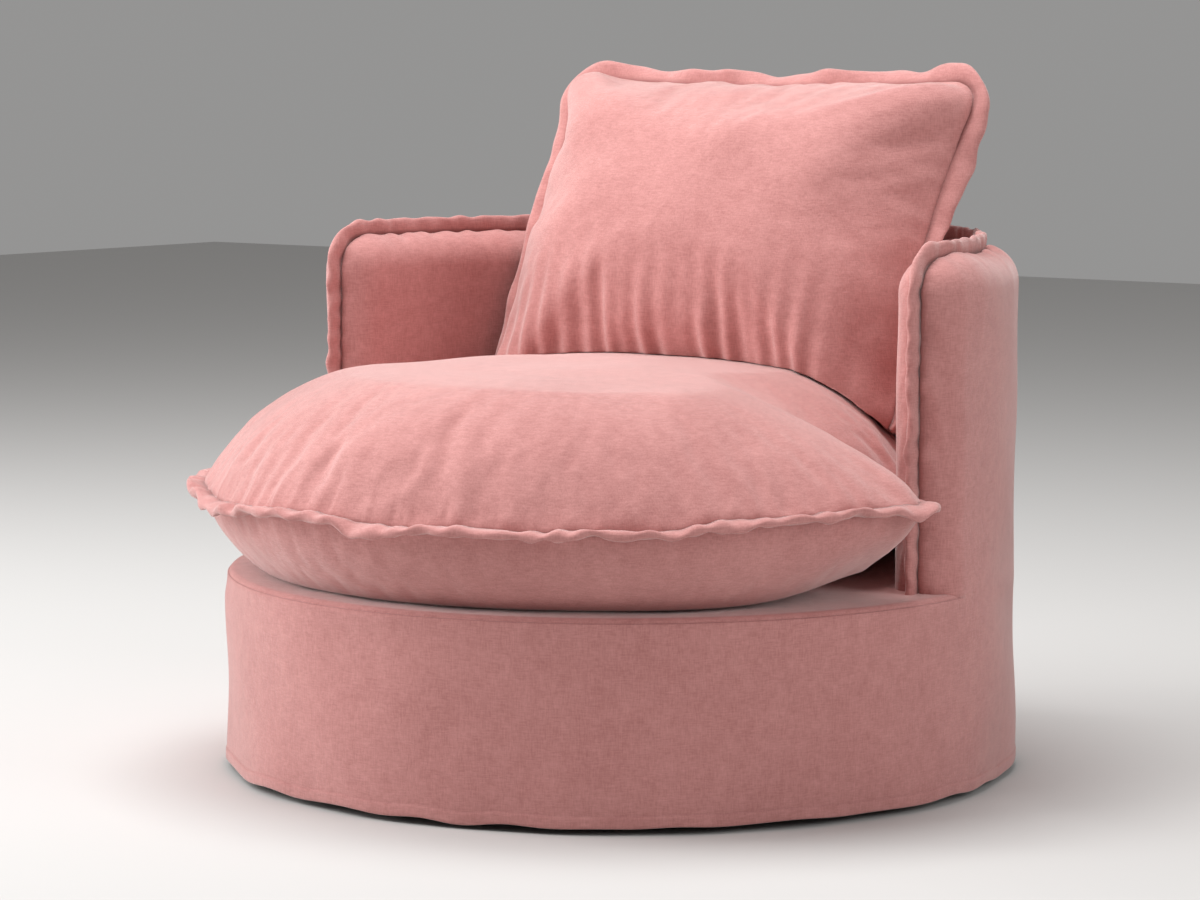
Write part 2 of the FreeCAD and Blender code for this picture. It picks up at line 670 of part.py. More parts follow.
def make_drum():
    """The turning drum's bearing ring, boards, posts, webbing and padding."""
    inner = f"({RACE_IN} - race_width)"
    race_low = f"({FLOOR_LOW} - race_thickness)"
    upper = turned("upper_race", [
        (RACE_IN, FLOOR_LOW),
        (RACE_IN, f"{BALL_LEVEL} + {GROOVE_RISE}", "bearing_radius", BALL_LEVEL, 1),
        (RACE_IN, f"{BALL_LEVEL} - {GROOVE_RISE}"),
        (RACE_IN, race_low),
        (inner, race_low),
        (inner, FLOOR_LOW)])
    board = turned("bottom_board", [
        ("0", FLOOR_LOW), (FRAME_RADIUS, FLOOR_LOW), (FRAME_RADIUS, FLOOR_TOP), ("0", FLOOR_TOP)])
    for body in (upper, board):
        hole = screw_outline(UPPER_SCREWS, race_low, "race_screw_length", 1, "screw_play")
        bore(body, "screw_holes", UPPER_SCREWS, hole, "race_screw_count")
    studs("upper_race_screws", UPPER_SCREWS,
          screw_outline(UPPER_SCREWS, race_low, "race_screw_length", 1), "race_screw_count")
    drum_posts = posts("drum_posts", f"{MIDDLE} - {POST}", post_face(), FLOOR_TOP, RING_LOW,
                       "drum_post_count")
    for body in (board, drum_posts):
        hole = screw_outline(MIDDLE, FLOOR_LOW, "post_screw_length", 1, "screw_play")
        bore(body, "post_holes", MIDDLE, hole, "drum_post_count")
    studs("post_screws", MIDDLE,
          screw_outline(MIDDLE, FLOOR_LOW, "post_screw_length", 1), "drum_post_count")
    ring("dust_cover", "dust_cover_inner", FRAME_RADIUS,
         f"({FLOOR_LOW} - dust_cover_thickness)", FLOOR_LOW)
    ring("seat_ring", f"({FRAME_RADIUS} - seat_ring_width)", FRAME_RADIUS, RING_LOW, RING_TOP)
    ring("drum_board", f"({MIDDLE} + {POST})", f"({MIDDLE} + {CORE})", BOARD_EDGE, RING_TOP)
    ring("drum_padding", f"({MIDDLE} + {CORE} + fit)", f"({MIDDLE} + {LINING} - fit)",
         BOARD_EDGE, RING_TOP)
    straps("webbing_across", True, RING_TOP)
    straps("webbing_along", False, f"({RING_TOP} + webbing_thickness)")


def post_face():
    """Outer face of a post that clears the bent board outside it."""
    return f"(sqrt(({MIDDLE} + {POST}) ^ 2 - (post_width / 2) ^ 2) - fit)"


def make_deck():
    """Foam and cover of the deck, cut round the wall."""
    gap = group("Part::MultiFuse", "deck_gap", [
        wall_form("deck_gap_form", f"({HALF} + fit)", RING_LOW),
        ring("deck_gap_ends", MIDDLE, "(drum_radius + fit)", RING_LOW, "(deck_height + fit)",
             "(180 - 2 * rim_end_angle)")])
    rim = f"({MIDDLE} + {HALF} - deck_edge_round)"
    foam_edge = f"({MIDDLE} + {LINING} - fit)"
    foam_top = f"({DECK_LOW} - fit)"
    strap_end = f"({FRAME_RADIUS} - seat_ring_width + webbing_lap + fit)"
    foam = turned("deck_foam_disc", [
        ("0", WEBBING_TOP), (strap_end, WEBBING_TOP), (strap_end, RING_TOP), (foam_edge, RING_TOP),
        (foam_edge, SEAM), (rim, foam_top), ("0", foam_top)])
    cloth = turned("deck_cover_disc", [
        ("0", DECK_LOW), (rim, DECK_LOW, rim, SEAM, -1), (f"{MIDDLE} + {LINING}", SEAM),
        ("drum_radius", SEAM, rim, SEAM, 1), (rim, "deck_height"), ("0", "deck_height")])
    joined("Part::Cut", "deck_foam", foam, gap)
    joined("Part::Cut", "deck_cover", cloth, gap)


def make_wall():
    """Posts, rail, boards and padding of the arm and back wall."""
    sweep = "(180 - 2 * wall_post_start)"
    posts("wall_posts", f"{MIDDLE} - {POST} + fit", post_face(), RING_TOP, RAIL_LOW,
          "wall_post_count", sweep, "wall_post_start")
    group("Part::Compound", "arm_front_posts", nose_pair("arm_front", CORE, RING_TOP))
    turned("top_rail", [
        (f"{MIDDLE} - {CORE}", RAIL_LOW), (f"{MIDDLE} + {CORE}", RAIL_LOW),
        (f"{MIDDLE} + {CORE}", ROUND, MIDDLE, ROUND, 1), (f"{MIDDLE} - {CORE}", ROUND)],
        WALL_SWEEP)
    ring("inner_board", f"({MIDDLE} - {CORE})", f"({MIDDLE} - {POST})", RING_TOP, RAIL_LOW,
         WALL_SWEEP)
    ring("outer_board", f"({MIDDLE} + {POST})", f"({MIDDLE} + {CORE})", RING_TOP, RAIL_LOW,
         WALL_SWEEP)
    joined("Part::Cut", "wall_padding",
           wall_form("padding_form", f"({LINING} - fit)", RING_TOP),
           wall_form("padding_hollow", f"({CORE} + fit)", RING_LOW))


def make_covers():
    """Outer cover from the hem to the flange, inner cover and the flange."""
    skin = joined("Part::Cut", "wall_skin", wall_form("skin_form", HALF, SEAM),
                  wall_form("skin_hollow", LINING, RING_LOW))
    top = f"({ROUND} + {HALF} + flange_height + fit)"
    outside = cylinder("flange_outside", f"({MIDDLE} + flange_thickness / 2)", RING_LOW, top)
    inside = cylinder("flange_inside", f"({MIDDLE} - flange_thickness / 2)", RING_LOW, top)
    outer_half = joined("Part::Cut", "outer_half", skin, outside)
    joined("Part::Common", "inner_cover", skin, inside)
    band = ring("drum_band", f"({MIDDLE} + {LINING})", "drum_radius", HEM, SEAM)
    group("Part::MultiFuse", "outer_cover", [band, outer_half])
    edge = joined("Part::Cut", "flange_edge",
                  wall_form("flange_form", f"({HALF} + flange_height)", "deck_height"),
                  wall_form("flange_hollow", LINING, RING_LOW))
    thick = joined("Part::Cut", "flange_tube", outside, inside)
    joined("Part::Common", "wall_flange", edge, thick)


def round_core(label, extra):
    """The seat cushion's round foam core, larger all round by extra."""
    low = f"({SEAT_LOW} + seat_core_low)"
    side = f"({low} + seat_core_side)"
    outer = f"({CORE_RADIUS} + {extra})"
    inner = f"({CORE_RADIUS} - seat_core_round)"
    return turned(label, [
        ("0", f"{low} - {extra}"),
        (inner, f"{low} - {extra}", inner, f"{low} + seat_core_round", 1),
        (outer, f"{low} + seat_core_round"),
        (outer, f"{side} - seat_core_round", inner, f"{side} - seat_core_round", 1),
        (inner, f"{side} + {extra}"),
        ("0", f"{side} + seat_core_crown + {extra}")])


def inner_pad(label, extra):
    """The back cushion's inner pad, larger all round by extra."""
    side = f"(back_half_width - pad_side + {extra})"
    top = f"(back_half_height - pad_side + {extra})"
    low = f"(pad_rise - back_half_height - {extra})"
    body = new_body(label)
    outline = [(f"-{side}", low), (side, low), (side, top), (f"-{side}", top)]
    sketch = new_sketch(body, "outline", "XY_Plane", outline)
    pad = body.newObject("PartDesign::Pad", label + "_block")
    pad.Profile = sketch
    pad.Midplane = True
    bind(pad, "Length", f"pad_thickness + 2 * {extra}")
    doc.recompute()
    rounded = body.newObject("PartDesign::Fillet", label + "_round")
    rounded.Base = (pad, [f"Edge{number + 1}" for number in range(len(pad.Shape.Edges))])
    bind(rounded, "Radius", f"pad_round + {extra}")
    body.Placement = back_place()
    doc.recompute()
    return body


def make_seat_cushion():
    """Cover, flange, fibre wrap, foam core and zip of the seat cushion."""
    cover = size("cover_thickness")
    fit = size("fit")
    round_core("seat_core", "0")
    hollow = round_core("seat_wrap_hollow", "fit").Shape
    body = seat_form(0)
    solid_part("seat_cover", body.cut(seat_form(cover)))
    solid_part("seat_wrap", seat_form(cover + fit).cut(hollow))
    flange = flat_band(seat_outline(-size("seat_flange_width")), size(SEAT_SEAM),
                       size("seat_flange_thickness"))
    solid_part("seat_flange", flange.cut(body))
    tape = fit + size("zip_thickness")
    half_angle = size("zip_half_angle")
    solid_part("seat_zip", zip_patch(fit, tape, size("zip_width"), half_angle, 0))
    slider_half = math.degrees(size("slider_length") / 2 / size(MIDDLE))
    solid_part("seat_zip_slider",
               zip_patch(tape + fit, tape + fit + size("slider_thickness"), size("slider_width"),
                         slider_half, slider_half - half_angle))


def make_back_cushion():
    """Cover, flange, down wrap and inner pad of the back cushion."""
    cover = size("cover_thickness")
    fit = size("fit")
    inner_pad("back_pad", "0")
    hollow = inner_pad("back_wrap_hollow", "fit").Shape
    body = settled(back_form(0), 0)
    solid_part("back_cover", body.cut(settled(back_form(cover), cover)))
    solid_part("back_wrap", settled(back_form(cover + fit), cover + fit).cut(hollow))
    plate = flat_band(back_outline(-size("back_flange_width")), 0, size("back_flange_thickness"))
    solid_part("back_flange", settled(plate, 0).cut(body))


NODES = [
    "floor_ring", "plinth_disc", "lower_race", "lower_race_screws", "bearing_balls", "ball_cage",
    "upper_race", "upper_race_screws", "bottom_board", "dust_cover", "drum_posts", "post_screws",
    "seat_ring", "drum_board", "drum_padding", "webbing_across", "webbing_along", "deck_foam",
    "deck_cover", "wall_posts", "arm_front_posts", "top_rail", "inner_board", "outer_board",
    "wall_padding", "outer_cover", "inner_cover", "wall_flange", "seat_cover", "seat_wrap",
    "seat_core", "seat_flange", "seat_zip", "seat_zip_slider", "back_cover", "back_wrap",
    "back_pad", "back_flange",
]

doc = FreeCAD.newDocument("CuddleChair")
sheet = doc.addObject("Spreadsheet::Sheet", "Sizes")
for row, (alias, value, note) in enumerate(SIZES, 1):
    sheet.set(f"A{row}", alias)
    sheet.set(f"B{row}", str(value))
    sheet.set(f"C{row}", note)
    sheet.setAlias(f"B{row}", alias)
doc.recompute()

make_base()
make_bearing()
make_drum()
make_deck()
make_wall()
make_covers()
make_seat_cushion()
make_back_cushion()
doc.recompute()

for thing in doc.Objects:
    if "Invalid" in thing.State or "Error" in thing.State:
        raise RuntimeError(f"{thing.Label} failed: {thing.State}")

os.makedirs("parts", exist_ok=True)
for node in NODES:
    shape = doc.getObjectsByLabel(node)[0].Shape
    if shape.isNull() or not shape.isValid():
        raise RuntimeError(f"{node} has no valid shape")
    shape.exportStep(f"parts/{node}.step")
    print(node, len(shape.Solids), "solids", round(shape.Volume / 1000), "cm3")
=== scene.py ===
"""Looks of a round velvet cuddle chair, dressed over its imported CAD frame.

Lengths are in metres. +Z is up, the seat faces -Y, and the origin is on the
floor at the middle of the drum.
"""

import json
import logging
import math
from dataclasses import dataclass, field
from enum import Enum
from typing import Any, Sequence

import bmesh
import bpy
import numpy as np
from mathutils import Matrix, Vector


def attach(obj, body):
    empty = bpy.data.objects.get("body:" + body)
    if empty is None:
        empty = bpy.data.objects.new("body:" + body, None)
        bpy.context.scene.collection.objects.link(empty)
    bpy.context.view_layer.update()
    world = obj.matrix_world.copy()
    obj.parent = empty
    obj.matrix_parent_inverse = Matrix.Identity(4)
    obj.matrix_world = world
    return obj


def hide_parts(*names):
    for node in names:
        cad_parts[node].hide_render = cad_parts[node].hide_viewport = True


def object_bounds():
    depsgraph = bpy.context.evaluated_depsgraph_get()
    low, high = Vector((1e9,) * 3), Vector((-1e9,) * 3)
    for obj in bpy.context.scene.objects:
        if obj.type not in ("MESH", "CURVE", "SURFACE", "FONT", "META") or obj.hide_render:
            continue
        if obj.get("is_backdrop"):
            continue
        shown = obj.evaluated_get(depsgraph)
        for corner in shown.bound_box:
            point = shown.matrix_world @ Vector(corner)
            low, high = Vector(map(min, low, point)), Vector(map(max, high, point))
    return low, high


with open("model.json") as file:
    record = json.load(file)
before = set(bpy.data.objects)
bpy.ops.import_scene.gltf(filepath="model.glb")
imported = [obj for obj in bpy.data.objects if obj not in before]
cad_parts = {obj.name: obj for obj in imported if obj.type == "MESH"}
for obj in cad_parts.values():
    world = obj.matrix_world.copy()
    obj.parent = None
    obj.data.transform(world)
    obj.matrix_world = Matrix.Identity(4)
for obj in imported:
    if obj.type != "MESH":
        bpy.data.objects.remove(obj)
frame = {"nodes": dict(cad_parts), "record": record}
CAD_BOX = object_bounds()

LOG = logging.getLogger("cuddle_chair")
Array = np.ndarray
Triple = tuple[float, float, float]

# Attribute of how deep in a seam a point lies; the velvet paints shade there.
CREASE = "crease"
SHADE_REACH = 0.0022
UP = np.array([0.0, 0.0, 1.0])

# One face of a flange: share of the width, share of the thickness
ROPE = np.array([(-0.30, 0.7), (0.0, 0.85), (0.18, 1.0), (0.5, 1.08), (0.8, 0.95), (0.94, 0.66),
                 (1.0, 0.25)])
RUFFLE = np.array([(-0.25, 0.8), (0.05, 0.75), (0.3, 1.0), (0.7, 1.05), (0.93, 0.8), (1.0, 0.3)])


# Numbers along lines and over surfaces


def unit(vectors: Array) -> Array:
    """The vectors at length one."""
    return vectors / np.maximum(np.linalg.norm(vectors, axis=-1, keepdims=True), 1e-12)


def lift(flat: Array, height: Array | float) -> Array:
    """Plan vectors (x, y) with a height added as their z."""
    z = np.broadcast_to(height, flat.shape[:-1])
    return np.concatenate([flat, z[..., None]], axis=-1)


def hum(points: Array, wavelength: float, seed: int, terms: int = 22) -> Array:
    """Smooth noise, the same on every run.

    It is a sum of cosine waves in seeded directions, whose lengths scatter by
    a third about one wavelength, scaled to a mean square of one.

    Args:
        points: positions with their coordinates on the last axis.
        wavelength: middle length of the waves, in metres.
        seed: picks the directions, lengths and phases.
        terms: number of waves.

    Returns:
        One value a point.
    """
    source = np.random.default_rng(seed)
    turns = unit(source.normal(size=(terms, points.shape[-1])))
    count = 2 * math.pi / (wavelength * source.uniform(0.67, 1.33, terms))
    phase = source.uniform(0, 2 * math.pi, terms)
    waves = np.cos(points @ (turns * count[:, None]).T + phase)
    return waves.sum(-1) * math.sqrt(2 / terms)


def ease(values: Array, low: float, high: float) -> Array:
    """A smooth step from 0 at low to 1 at high: 3 t^2 - 2 t^3."""
    t = np.clip((values - low) / (high - low), 0, 1)
    return t * t * (3 - 2 * t)


def around(turn: Array) -> Array:
    """Plan directions (cosine, sine) at angles from the X axis."""
    return np.stack([np.cos(turn), np.sin(turn)], -1)


def arc(centre: Sequence[float], radius: float, start: float, end: float) -> Array:
    """Points along a circle's arc, about every 2 mm, without its end point."""
    count = max(2, int(abs(end - start) * radius / 0.002))
    return np.asarray(centre) + radius * around(np.linspace(start, end, count, endpoint=False))


def evenly(outline: Array, count: int) -> Array:
    """A closed outline resampled to points the same distance apart.

    Args:
        outline: its points, without the first one again at the end.
        count: how many points come back.

    Returns:
        The new points.
    """
    closed = np.vstack([outline, outline[:1]])
    run = np.concatenate([[0], np.cumsum(np.linalg.norm(np.diff(closed, axis=0), axis=1))])
    spots = np.linspace(0, run[-1], count, endpoint=False)
    return np.stack([np.interp(spots, run, closed[:, i]) for i in range(closed.shape[1])], -1)


def away_from(along: Array) -> Array:
    """Unit normals that point out of an anticlockwise outline, from its direction."""
    along = unit(along)
    return np.stack([along[:, 1], -along[:, 0]], -1)


def inside_seam(plan: Array, seam: Array) -> tuple[Array, Array]:
    """Where points lie about a cushion's middle.

    Args:
        plan: points by 2, from the cushion's middle.
        seam: the seam's points by 2, from the same middle.

    Returns:
        Each point's direction, and how far it lies inside the seam there.
    """
    turn, turns = (np.arctan2(spots[:, 1], spots[:, 0]) for spots in (plan, seam))
    order = np.argsort(turns)
    reach = np.interp(turn, turns[order], np.linalg.norm(seam, axis=1)[order],
                      period=2 * math.pi)
    return turn, np.maximum(reach - np.linalg.norm(plan, axis=1), 0)


# Meshes


@dataclass
class Patchwork:
    """Grids of points that are sewn into one mesh."""

    points: list[Array] = field(default_factory=list)
    faces: list[Array] = field(default_factory=list)
    crease: list[Array] = field(default_factory=list)
    count: int = 0

    def add(self, grid: Array, facing: Array, crease: Array | float = 0.0,
            round_rows: bool = False, round_columns: bool = False) -> None:
        """Adds one grid; its faces are turned to the side that facing shows.

        Args:
            grid: points, as rows by columns by 3.
            facing: a vector a point that leans out of the surface.
            crease: 0 to 1 a point, how deep in a seam it lies, where the velvet paints shade.
            round_rows: the last row joins the first.
            round_columns: the last column joins the first.
        """
        rows, columns = grid.shape[:2]
        index = np.arange(rows * columns).reshape(rows, columns)
        if round_rows:
            index = np.vstack([index, index[:1]])
        if round_columns:
            index = np.hstack([index, index[:, :1]])
        quads = np.stack([index[:-1, :-1], index[:-1, 1:], index[1:, 1:], index[1:, :-1]], -1)
        quads = quads.reshape(-1, 4)
        flat = grid.reshape(-1, 3)
        corner = flat[quads]
        normal = np.cross(corner[:, 2] - corner[:, 0], corner[:, 3] - corner[:, 1])
        out = np.broadcast_to(facing, grid.shape).reshape(-1, 3)[quads[:, 0]]
        if (normal * out).sum() < 0:
            quads = quads[:, ::-1]
        self.points.append(flat)
        self.faces.append(quads + self.count)
        self.crease.append(np.broadcast_to(crease, grid.shape[:2]).reshape(-1))
        self.count += len(flat)

    def sew(self, name: str) -> bpy.types.Object:
        """Makes one object of all the grids, with points at the same place joined.

        Args:
            name: the object's name.

        Returns:
            The object.
        """
        made = mesh_object(name, np.vstack(self.points), np.vstack(self.faces))
        write(made, CREASE, np.concatenate(self.crease))
        merge(made)
        return made


def mesh_object(name: str, points: Array, faces: Array) -> bpy.types.Object:
    """A smooth-shaded object at the origin.

    Args:
        name: the object's name.
        points: points by 3.
        faces: faces by 4, the numbers of their corners.

    Returns:
        The object, already in the scene.
    """
    mesh = bpy.data.meshes.new(name)
    mesh.vertices.add(len(points))
    mesh.vertices.foreach_set("co", points.astype(np.float32).ravel())
    mesh.loops.add(faces.size)
    mesh.loops.foreach_set("vertex_index", faces.astype(np.int32).ravel())
    mesh.polygons.add(len(faces))
    mesh.polygons.foreach_set("loop_start", np.arange(0, faces.size, 4, dtype=np.int32))
    mesh.update(calc_edges=True)
    mesh.validate()
    mesh.shade_smooth()
    made = bpy.data.objects.new(name, mesh)
    bpy.context.scene.collection.objects.link(made)
    return made


def merge(made: bpy.types.Object, distance: float = 1e-5) -> None:
    """Joins points that lie together, and clears faces that have no area left.

    Args:
        made: the object.
        distance: how near two points have to be.
    """
    work = bmesh.new()
    work.from_mesh(made.data)
    bmesh.ops.remove_doubles(work, verts=work.verts, dist=distance)
    bmesh.ops.dissolve_degenerate(work, edges=work.edges, dist=distance / 10)
    work.to_mesh(made.data)
    work.free()
    made.data.shade_smooth()


def write(made: bpy.types.Object, name: str, values: Array) -> None:
    """Stores one number a point as an attribute.

    Args:
        made: the object.
        name: the attribute's name.
        values: a value a point.
    """
    attributes = made.data.attributes
    layer = attributes.get(name) or attributes.new(name, "FLOAT", "POINT")
    layer.data.foreach_set("value", np.ascontiguousarray(values, dtype=np.float32))


def vectors(layer: Any, key: str) -> Array:
    """One vector a point, read from a layer of a mesh.

    Args:
        layer: the mesh's points or point normals.
        key: the name of the vector in it.

    Returns:
        Points by 3.
    """
    values = np.empty(len(layer) * 3, np.float32)
    layer.foreach_get(key, values)
    return values.reshape(-1, 3).astype(float)


def read_points(made: bpy.types.Object) -> Array:
    """An object's points as an array."""
    return vectors(made.data.vertices, "co")


def read_normals(made: bpy.types.Object) -> Array:
    """An object's point normals as an array."""
    return vectors(made.data.vertex_normals, "vector")


def place_points(made: bpy.types.Object, points: Array) -> None:
    """Moves an object's points to new places."""
    made.data.vertices.foreach_set("co", points.astype(np.float32).ravel())
    made.data.update()


def settle(made: bpy.types.Object) -> None:
    """Applies an object's modifiers to its mesh.

    Args:
        made: the object.
    """
    bpy.context.view_layer.update()
    shaped = made.evaluated_get(bpy.context.evaluated_depsgraph_get())
    mesh = bpy.data.meshes.new_from_object(shaped)
    made.modifiers.clear()
    made.data = mesh
    mesh.shade_smooth()


def thicken(piece: bpy.types.Object, thickness: float, offset: float) -> None:
    """Gives a cloth its thickness.

    Args:
        piece: the cloth.
        thickness: how thick it gets.
        offset: -1 for all of it inwards, 0 for half of it each way.
    """
    solid = piece.modifiers.new("cloth", "SOLIDIFY")
    solid.thickness = thickness
    solid.offset = offset
    settle(piece)


def flange_section(half: Array, wide: Array, thick: Array, sway: Array, power: float) -> Array:
    """A flange's closed section at each point of its path.

    A point's first number is its share of the width. Its second is its share
    of the thickness, plus the sway times a power of that share of the width.

    Args:
        half: rows of the two shares, for one face of the flange.
        wide: how far the flange stands, a value a path point.
        thick: half its thickness, a value a path point.
        sway: how far its edge leans, a value a path point.
        power: how late the lean sets in.

    Returns:
        Path points by section points by 2.
    """
    loop = np.vstack([half, half[::-1] * [1, -1]])
    stand = loop[:, 0] * wide[:, None]
    across = loop[:, 1] * thick[:, None] + sway[:, None] * np.clip(loop[:, 0], 0, 1) ** power
    return np.stack([stand, across], -1)


def ribbon(name: str, path: Array, out: Array, across: Array, section: Array,
           closed: bool) -> bpy.types.Object:
    """A strip carried along a path.

    A point of it is the path's point, plus the section's first number along
    out, plus its second along across.

    Args:
        name: the object's name.
        path: points along the strip.
        out: unit vectors in which the strip stands off the path.
        across: unit vectors through the strip's thickness.
        section: path points by section points by 2, each a closed loop.
        closed: the path's end joins its start.

    Returns:
        The object.
    """
    spots = path[:, None] + section[..., :1] * out[:, None] + section[..., 1:] * across[:, None]
    middle = spots.mean(axis=1, keepdims=True)
    stand = section[..., 0]
    if not closed:
        spots = np.concatenate([middle[:1].repeat(spots.shape[1], 1), spots,
                                middle[-1:].repeat(spots.shape[1], 1)])
        middle = np.concatenate([middle[:1], middle, middle[-1:]])
        stand = np.concatenate([stand[:1], stand, stand[-1:]])
    work = Patchwork()
    work.add(spots, spots - middle, np.exp(-np.maximum(stand, 0) / SHADE_REACH), closed, True)
    return work.sew(name)


# Shader maths


class Wire:
    """One output of a node; arithmetic on it adds Math nodes."""

    def __init__(self, board: "Board", socket: bpy.types.NodeSocket) -> None:
        """Keeps the board and the socket."""
        self.board = board
        self.socket = socket

    def __add__(self, other: Any) -> "Wire":
        """Sum."""
        return self.board.maths("ADD", self, other)

    __radd__ = __add__

    def __sub__(self, other: Any) -> "Wire":
        """Difference."""
        return self.board.maths("SUBTRACT", self, other)

    def __rsub__(self, other: Any) -> "Wire":
        """Difference from a number."""
        return self.board.maths("SUBTRACT", other, self)

    def __mul__(self, other: Any) -> "Wire":
        """Product."""
        return self.board.maths("MULTIPLY", self, other)

    def between(self, low: float, high: float) -> "Wire":
        """0 at low, 1 at high, and no further."""
        return self.board.node("ShaderNodeMapRange", {"clamp": True},
                               {"Value": self, "From Min": low, "From Max": high})


class Board:
    """The node tree of one material."""

    def __init__(self, name: str) -> None:
        """Makes an empty material with its output and shader.

        Args:
            name: the material's name.
        """
        self.material = bpy.data.materials.new(name)
        self.material.use_nodes = True
        self.tree = self.material.node_tree
        self.tree.nodes.clear()
        self.shader = self.tree.nodes.new("ShaderNodeBsdfPrincipled")
        end = self.tree.nodes.new("ShaderNodeOutputMaterial")
        self.tree.links.new(self.shader.outputs[0], end.inputs["Surface"])

    def node(self, kind: str, settings: dict[str, Any], inputs: dict[Any, Any],
             output: Any = 0) -> Wire:
        """Adds a node.

        Args:
            kind: the node's type.
            settings: its own properties, set before its inputs.
            inputs: a value or a Wire for each socket.
            output: the output that is handed back.

        Returns:
            That output as a Wire.
        """
        made = self.tree.nodes.new(kind)
        for key, value in settings.items():
            setattr(made, key, value)
        for key, value in inputs.items():
            self.feed(made.inputs[key], value)
        return Wire(self, made.outputs[output])

    def feed(self, socket: bpy.types.NodeSocket, value: Any) -> None:
        """Links a Wire to a socket, or sets the socket's own value.

        Args:
            socket: the input socket.
            value: a Wire, a number, a colour or a vector.
        """
        if isinstance(value, Wire):
            self.tree.links.new(value.socket, socket)
        elif isinstance(value, tuple) and len(value) == 3 and socket.type == "RGBA":
            socket.default_value = (*value, 1.0)
        else:
            socket.default_value = value

    def maths(self, operation: str, *values: Any) -> Wire:
        """A Math node on one or two values."""
        return self.node("ShaderNodeMath", {"operation": operation}, dict(enumerate(values)))

    def spot(self) -> Wire:
        """Object coordinates."""
        return self.node("ShaderNodeTexCoord", {}, {}, "Object")

    def parts(self) -> list[Wire]:
        """The three object coordinates, each by itself."""
        split = self.node("ShaderNodeSeparateXYZ", {}, {0: self.spot()})
        return [Wire(self, socket) for socket in split.socket.node.outputs]

    def stretched(self, scale: Triple, turn: Triple = (0, 0, 0)) -> Wire:
        """Object coordinates, turned and scaled."""
        inputs = {"Vector": self.spot(), "Scale": scale, "Rotation": turn}
        return self.node("ShaderNodeMapping", {}, inputs)

    def noise(self, scale: float, detail: float, place: Wire | None = None,
              rough: float = 0.5) -> Wire:
        """Noise from 0 to 1.

        Args:
            scale: waves a metre.
            detail: how many finer layers it has.
            place: coordinates, if not the object's own.
            rough: how strong the finer layers are.

        Returns:
            The noise.
        """
        inputs = {"Vector": place or self.spot(), "Scale": scale, "Detail": detail,
                  "Roughness": rough}
        return self.node("ShaderNodeTexNoise", {}, inputs, "Fac")

    def blend(self, factor: Any, first: Any, second: Any) -> Wire:
        """A mix of two colours."""
        settings = {"data_type": "RGBA", "blend_type": "MIX", "clamp_factor": True}
        return self.node("ShaderNodeMix", settings, {0: factor, 6: first, 7: second}, 2)

    def attribute(self, name: str) -> Wire:
        """A number stored on the mesh."""
        return self.node("ShaderNodeAttribute", {"attribute_name": name}, {}, "Fac")

    def bump(self, height: Wire, distance: float, strength: float) -> Wire:
        """A bumped normal."""
        inputs = {"Height": height, "Distance": distance, "Strength": strength}
        return self.node("ShaderNodeBump", {}, inputs)

    def finish(self, **sockets: Any) -> bpy.types.Material:
        """Feeds the shader's sockets.

        Args:
            sockets: a value or a Wire for each socket, named with _ for spaces.

        Returns:
            The material.
        """
        for key, value in sockets.items():
            self.feed(self.shader.inputs[key.replace("_", " ")], value)
        return self.material


@dataclass(frozen=True)
class Velvet:
    """Short pile cloth: mottled where the pile lies differently, with slubs."""

    name: str = "velvet"
    lit: Triple = (0.650, 0.304, 0.286)
    shaded: Triple = (0.425, 0.168, 0.157)
    # seam is a painted seam shade: the dark colour that the crease attribute mixes in.
    seam: Triple = (0.240, 0.086, 0.080)

    def make(self) -> bpy.types.Material:
        """Builds the material.

        Clouds, pile and slubs, three noises, mix the shaded and the lit colour.
        The crease attribute paints shade into the seams. Slubs, grain and pile bump it.

        Returns:
            The material.
        """
        board = Board(self.name)
        cloud = board.noise(9.0, 3.0)
        pile = board.noise(55.0, 4.0, rough=0.62)
        slub_across = board.noise(1.0, 3.0, board.stretched((95, 95, 620)), 0.6)
        slub_along = board.noise(1.0, 3.0, board.stretched((620, 620, 95), (0, 0, 0.5)), 0.6)
        slubs = slub_across * 0.5 + slub_along * 0.5
        grain = board.noise(1500.0, 1.0)
        tone = (cloud.between(0.30, 0.70) * 0.20 + pile.between(0.32, 0.68) * 0.24
                + slubs.between(0.38, 0.62) * 0.46 + 0.05)
        colour = board.blend(tone, self.shaded, self.lit)
        # Painted shade: the colour darkens towards the seam colour where the crease attribute marks
        # a deep seam or groove.
        deep = board.attribute(CREASE).between(0.0, 1.0) * 0.75
        height = slubs * 0.55 + grain * 0.25 + pile * 0.6
        return board.finish(
            Base_Color=board.blend(deep, colour, self.seam),
            Roughness=0.94 - tone * 0.18,
            Specular_IOR_Level=0.25,
            Sheen_Weight=0.72, Sheen_Roughness=0.40, Sheen_Tint=(1.0, 0.90, 0.88, 1.0),
            Normal=board.bump(height, 0.0013, 0.85))


@dataclass(frozen=True)
class Grain:
    """Bare wood with long fibres along X."""

    name: str
    pale: Triple
    dark: Triple
    stretch: float = 14.0
    rough: float = 0.62

    def make(self) -> bpy.types.Material:
        """Builds the material: noise drawn out along X as fibres, finer noise as pores.

        Returns:
            The material.
        """
        board = Board(self.name)
        place = board.stretched((3.0, 3.0 * self.stretch, 3.0 * self.stretch))
        rings = board.noise(1.6, 5.0, place, 0.6)
        pores = board.noise(1.0, 2.0, board.stretched((60, 1500, 1500)))
        tone = rings.between(0.32, 0.68) * 0.8 + pores.between(0.35, 0.65) * 0.2
        return board.finish(Base_Color=board.blend(tone, self.dark, self.pale),
                            Roughness=self.rough + pores * 0.14,
                            Normal=board.bump(rings * 0.4 + pores, 0.0003, 0.6))


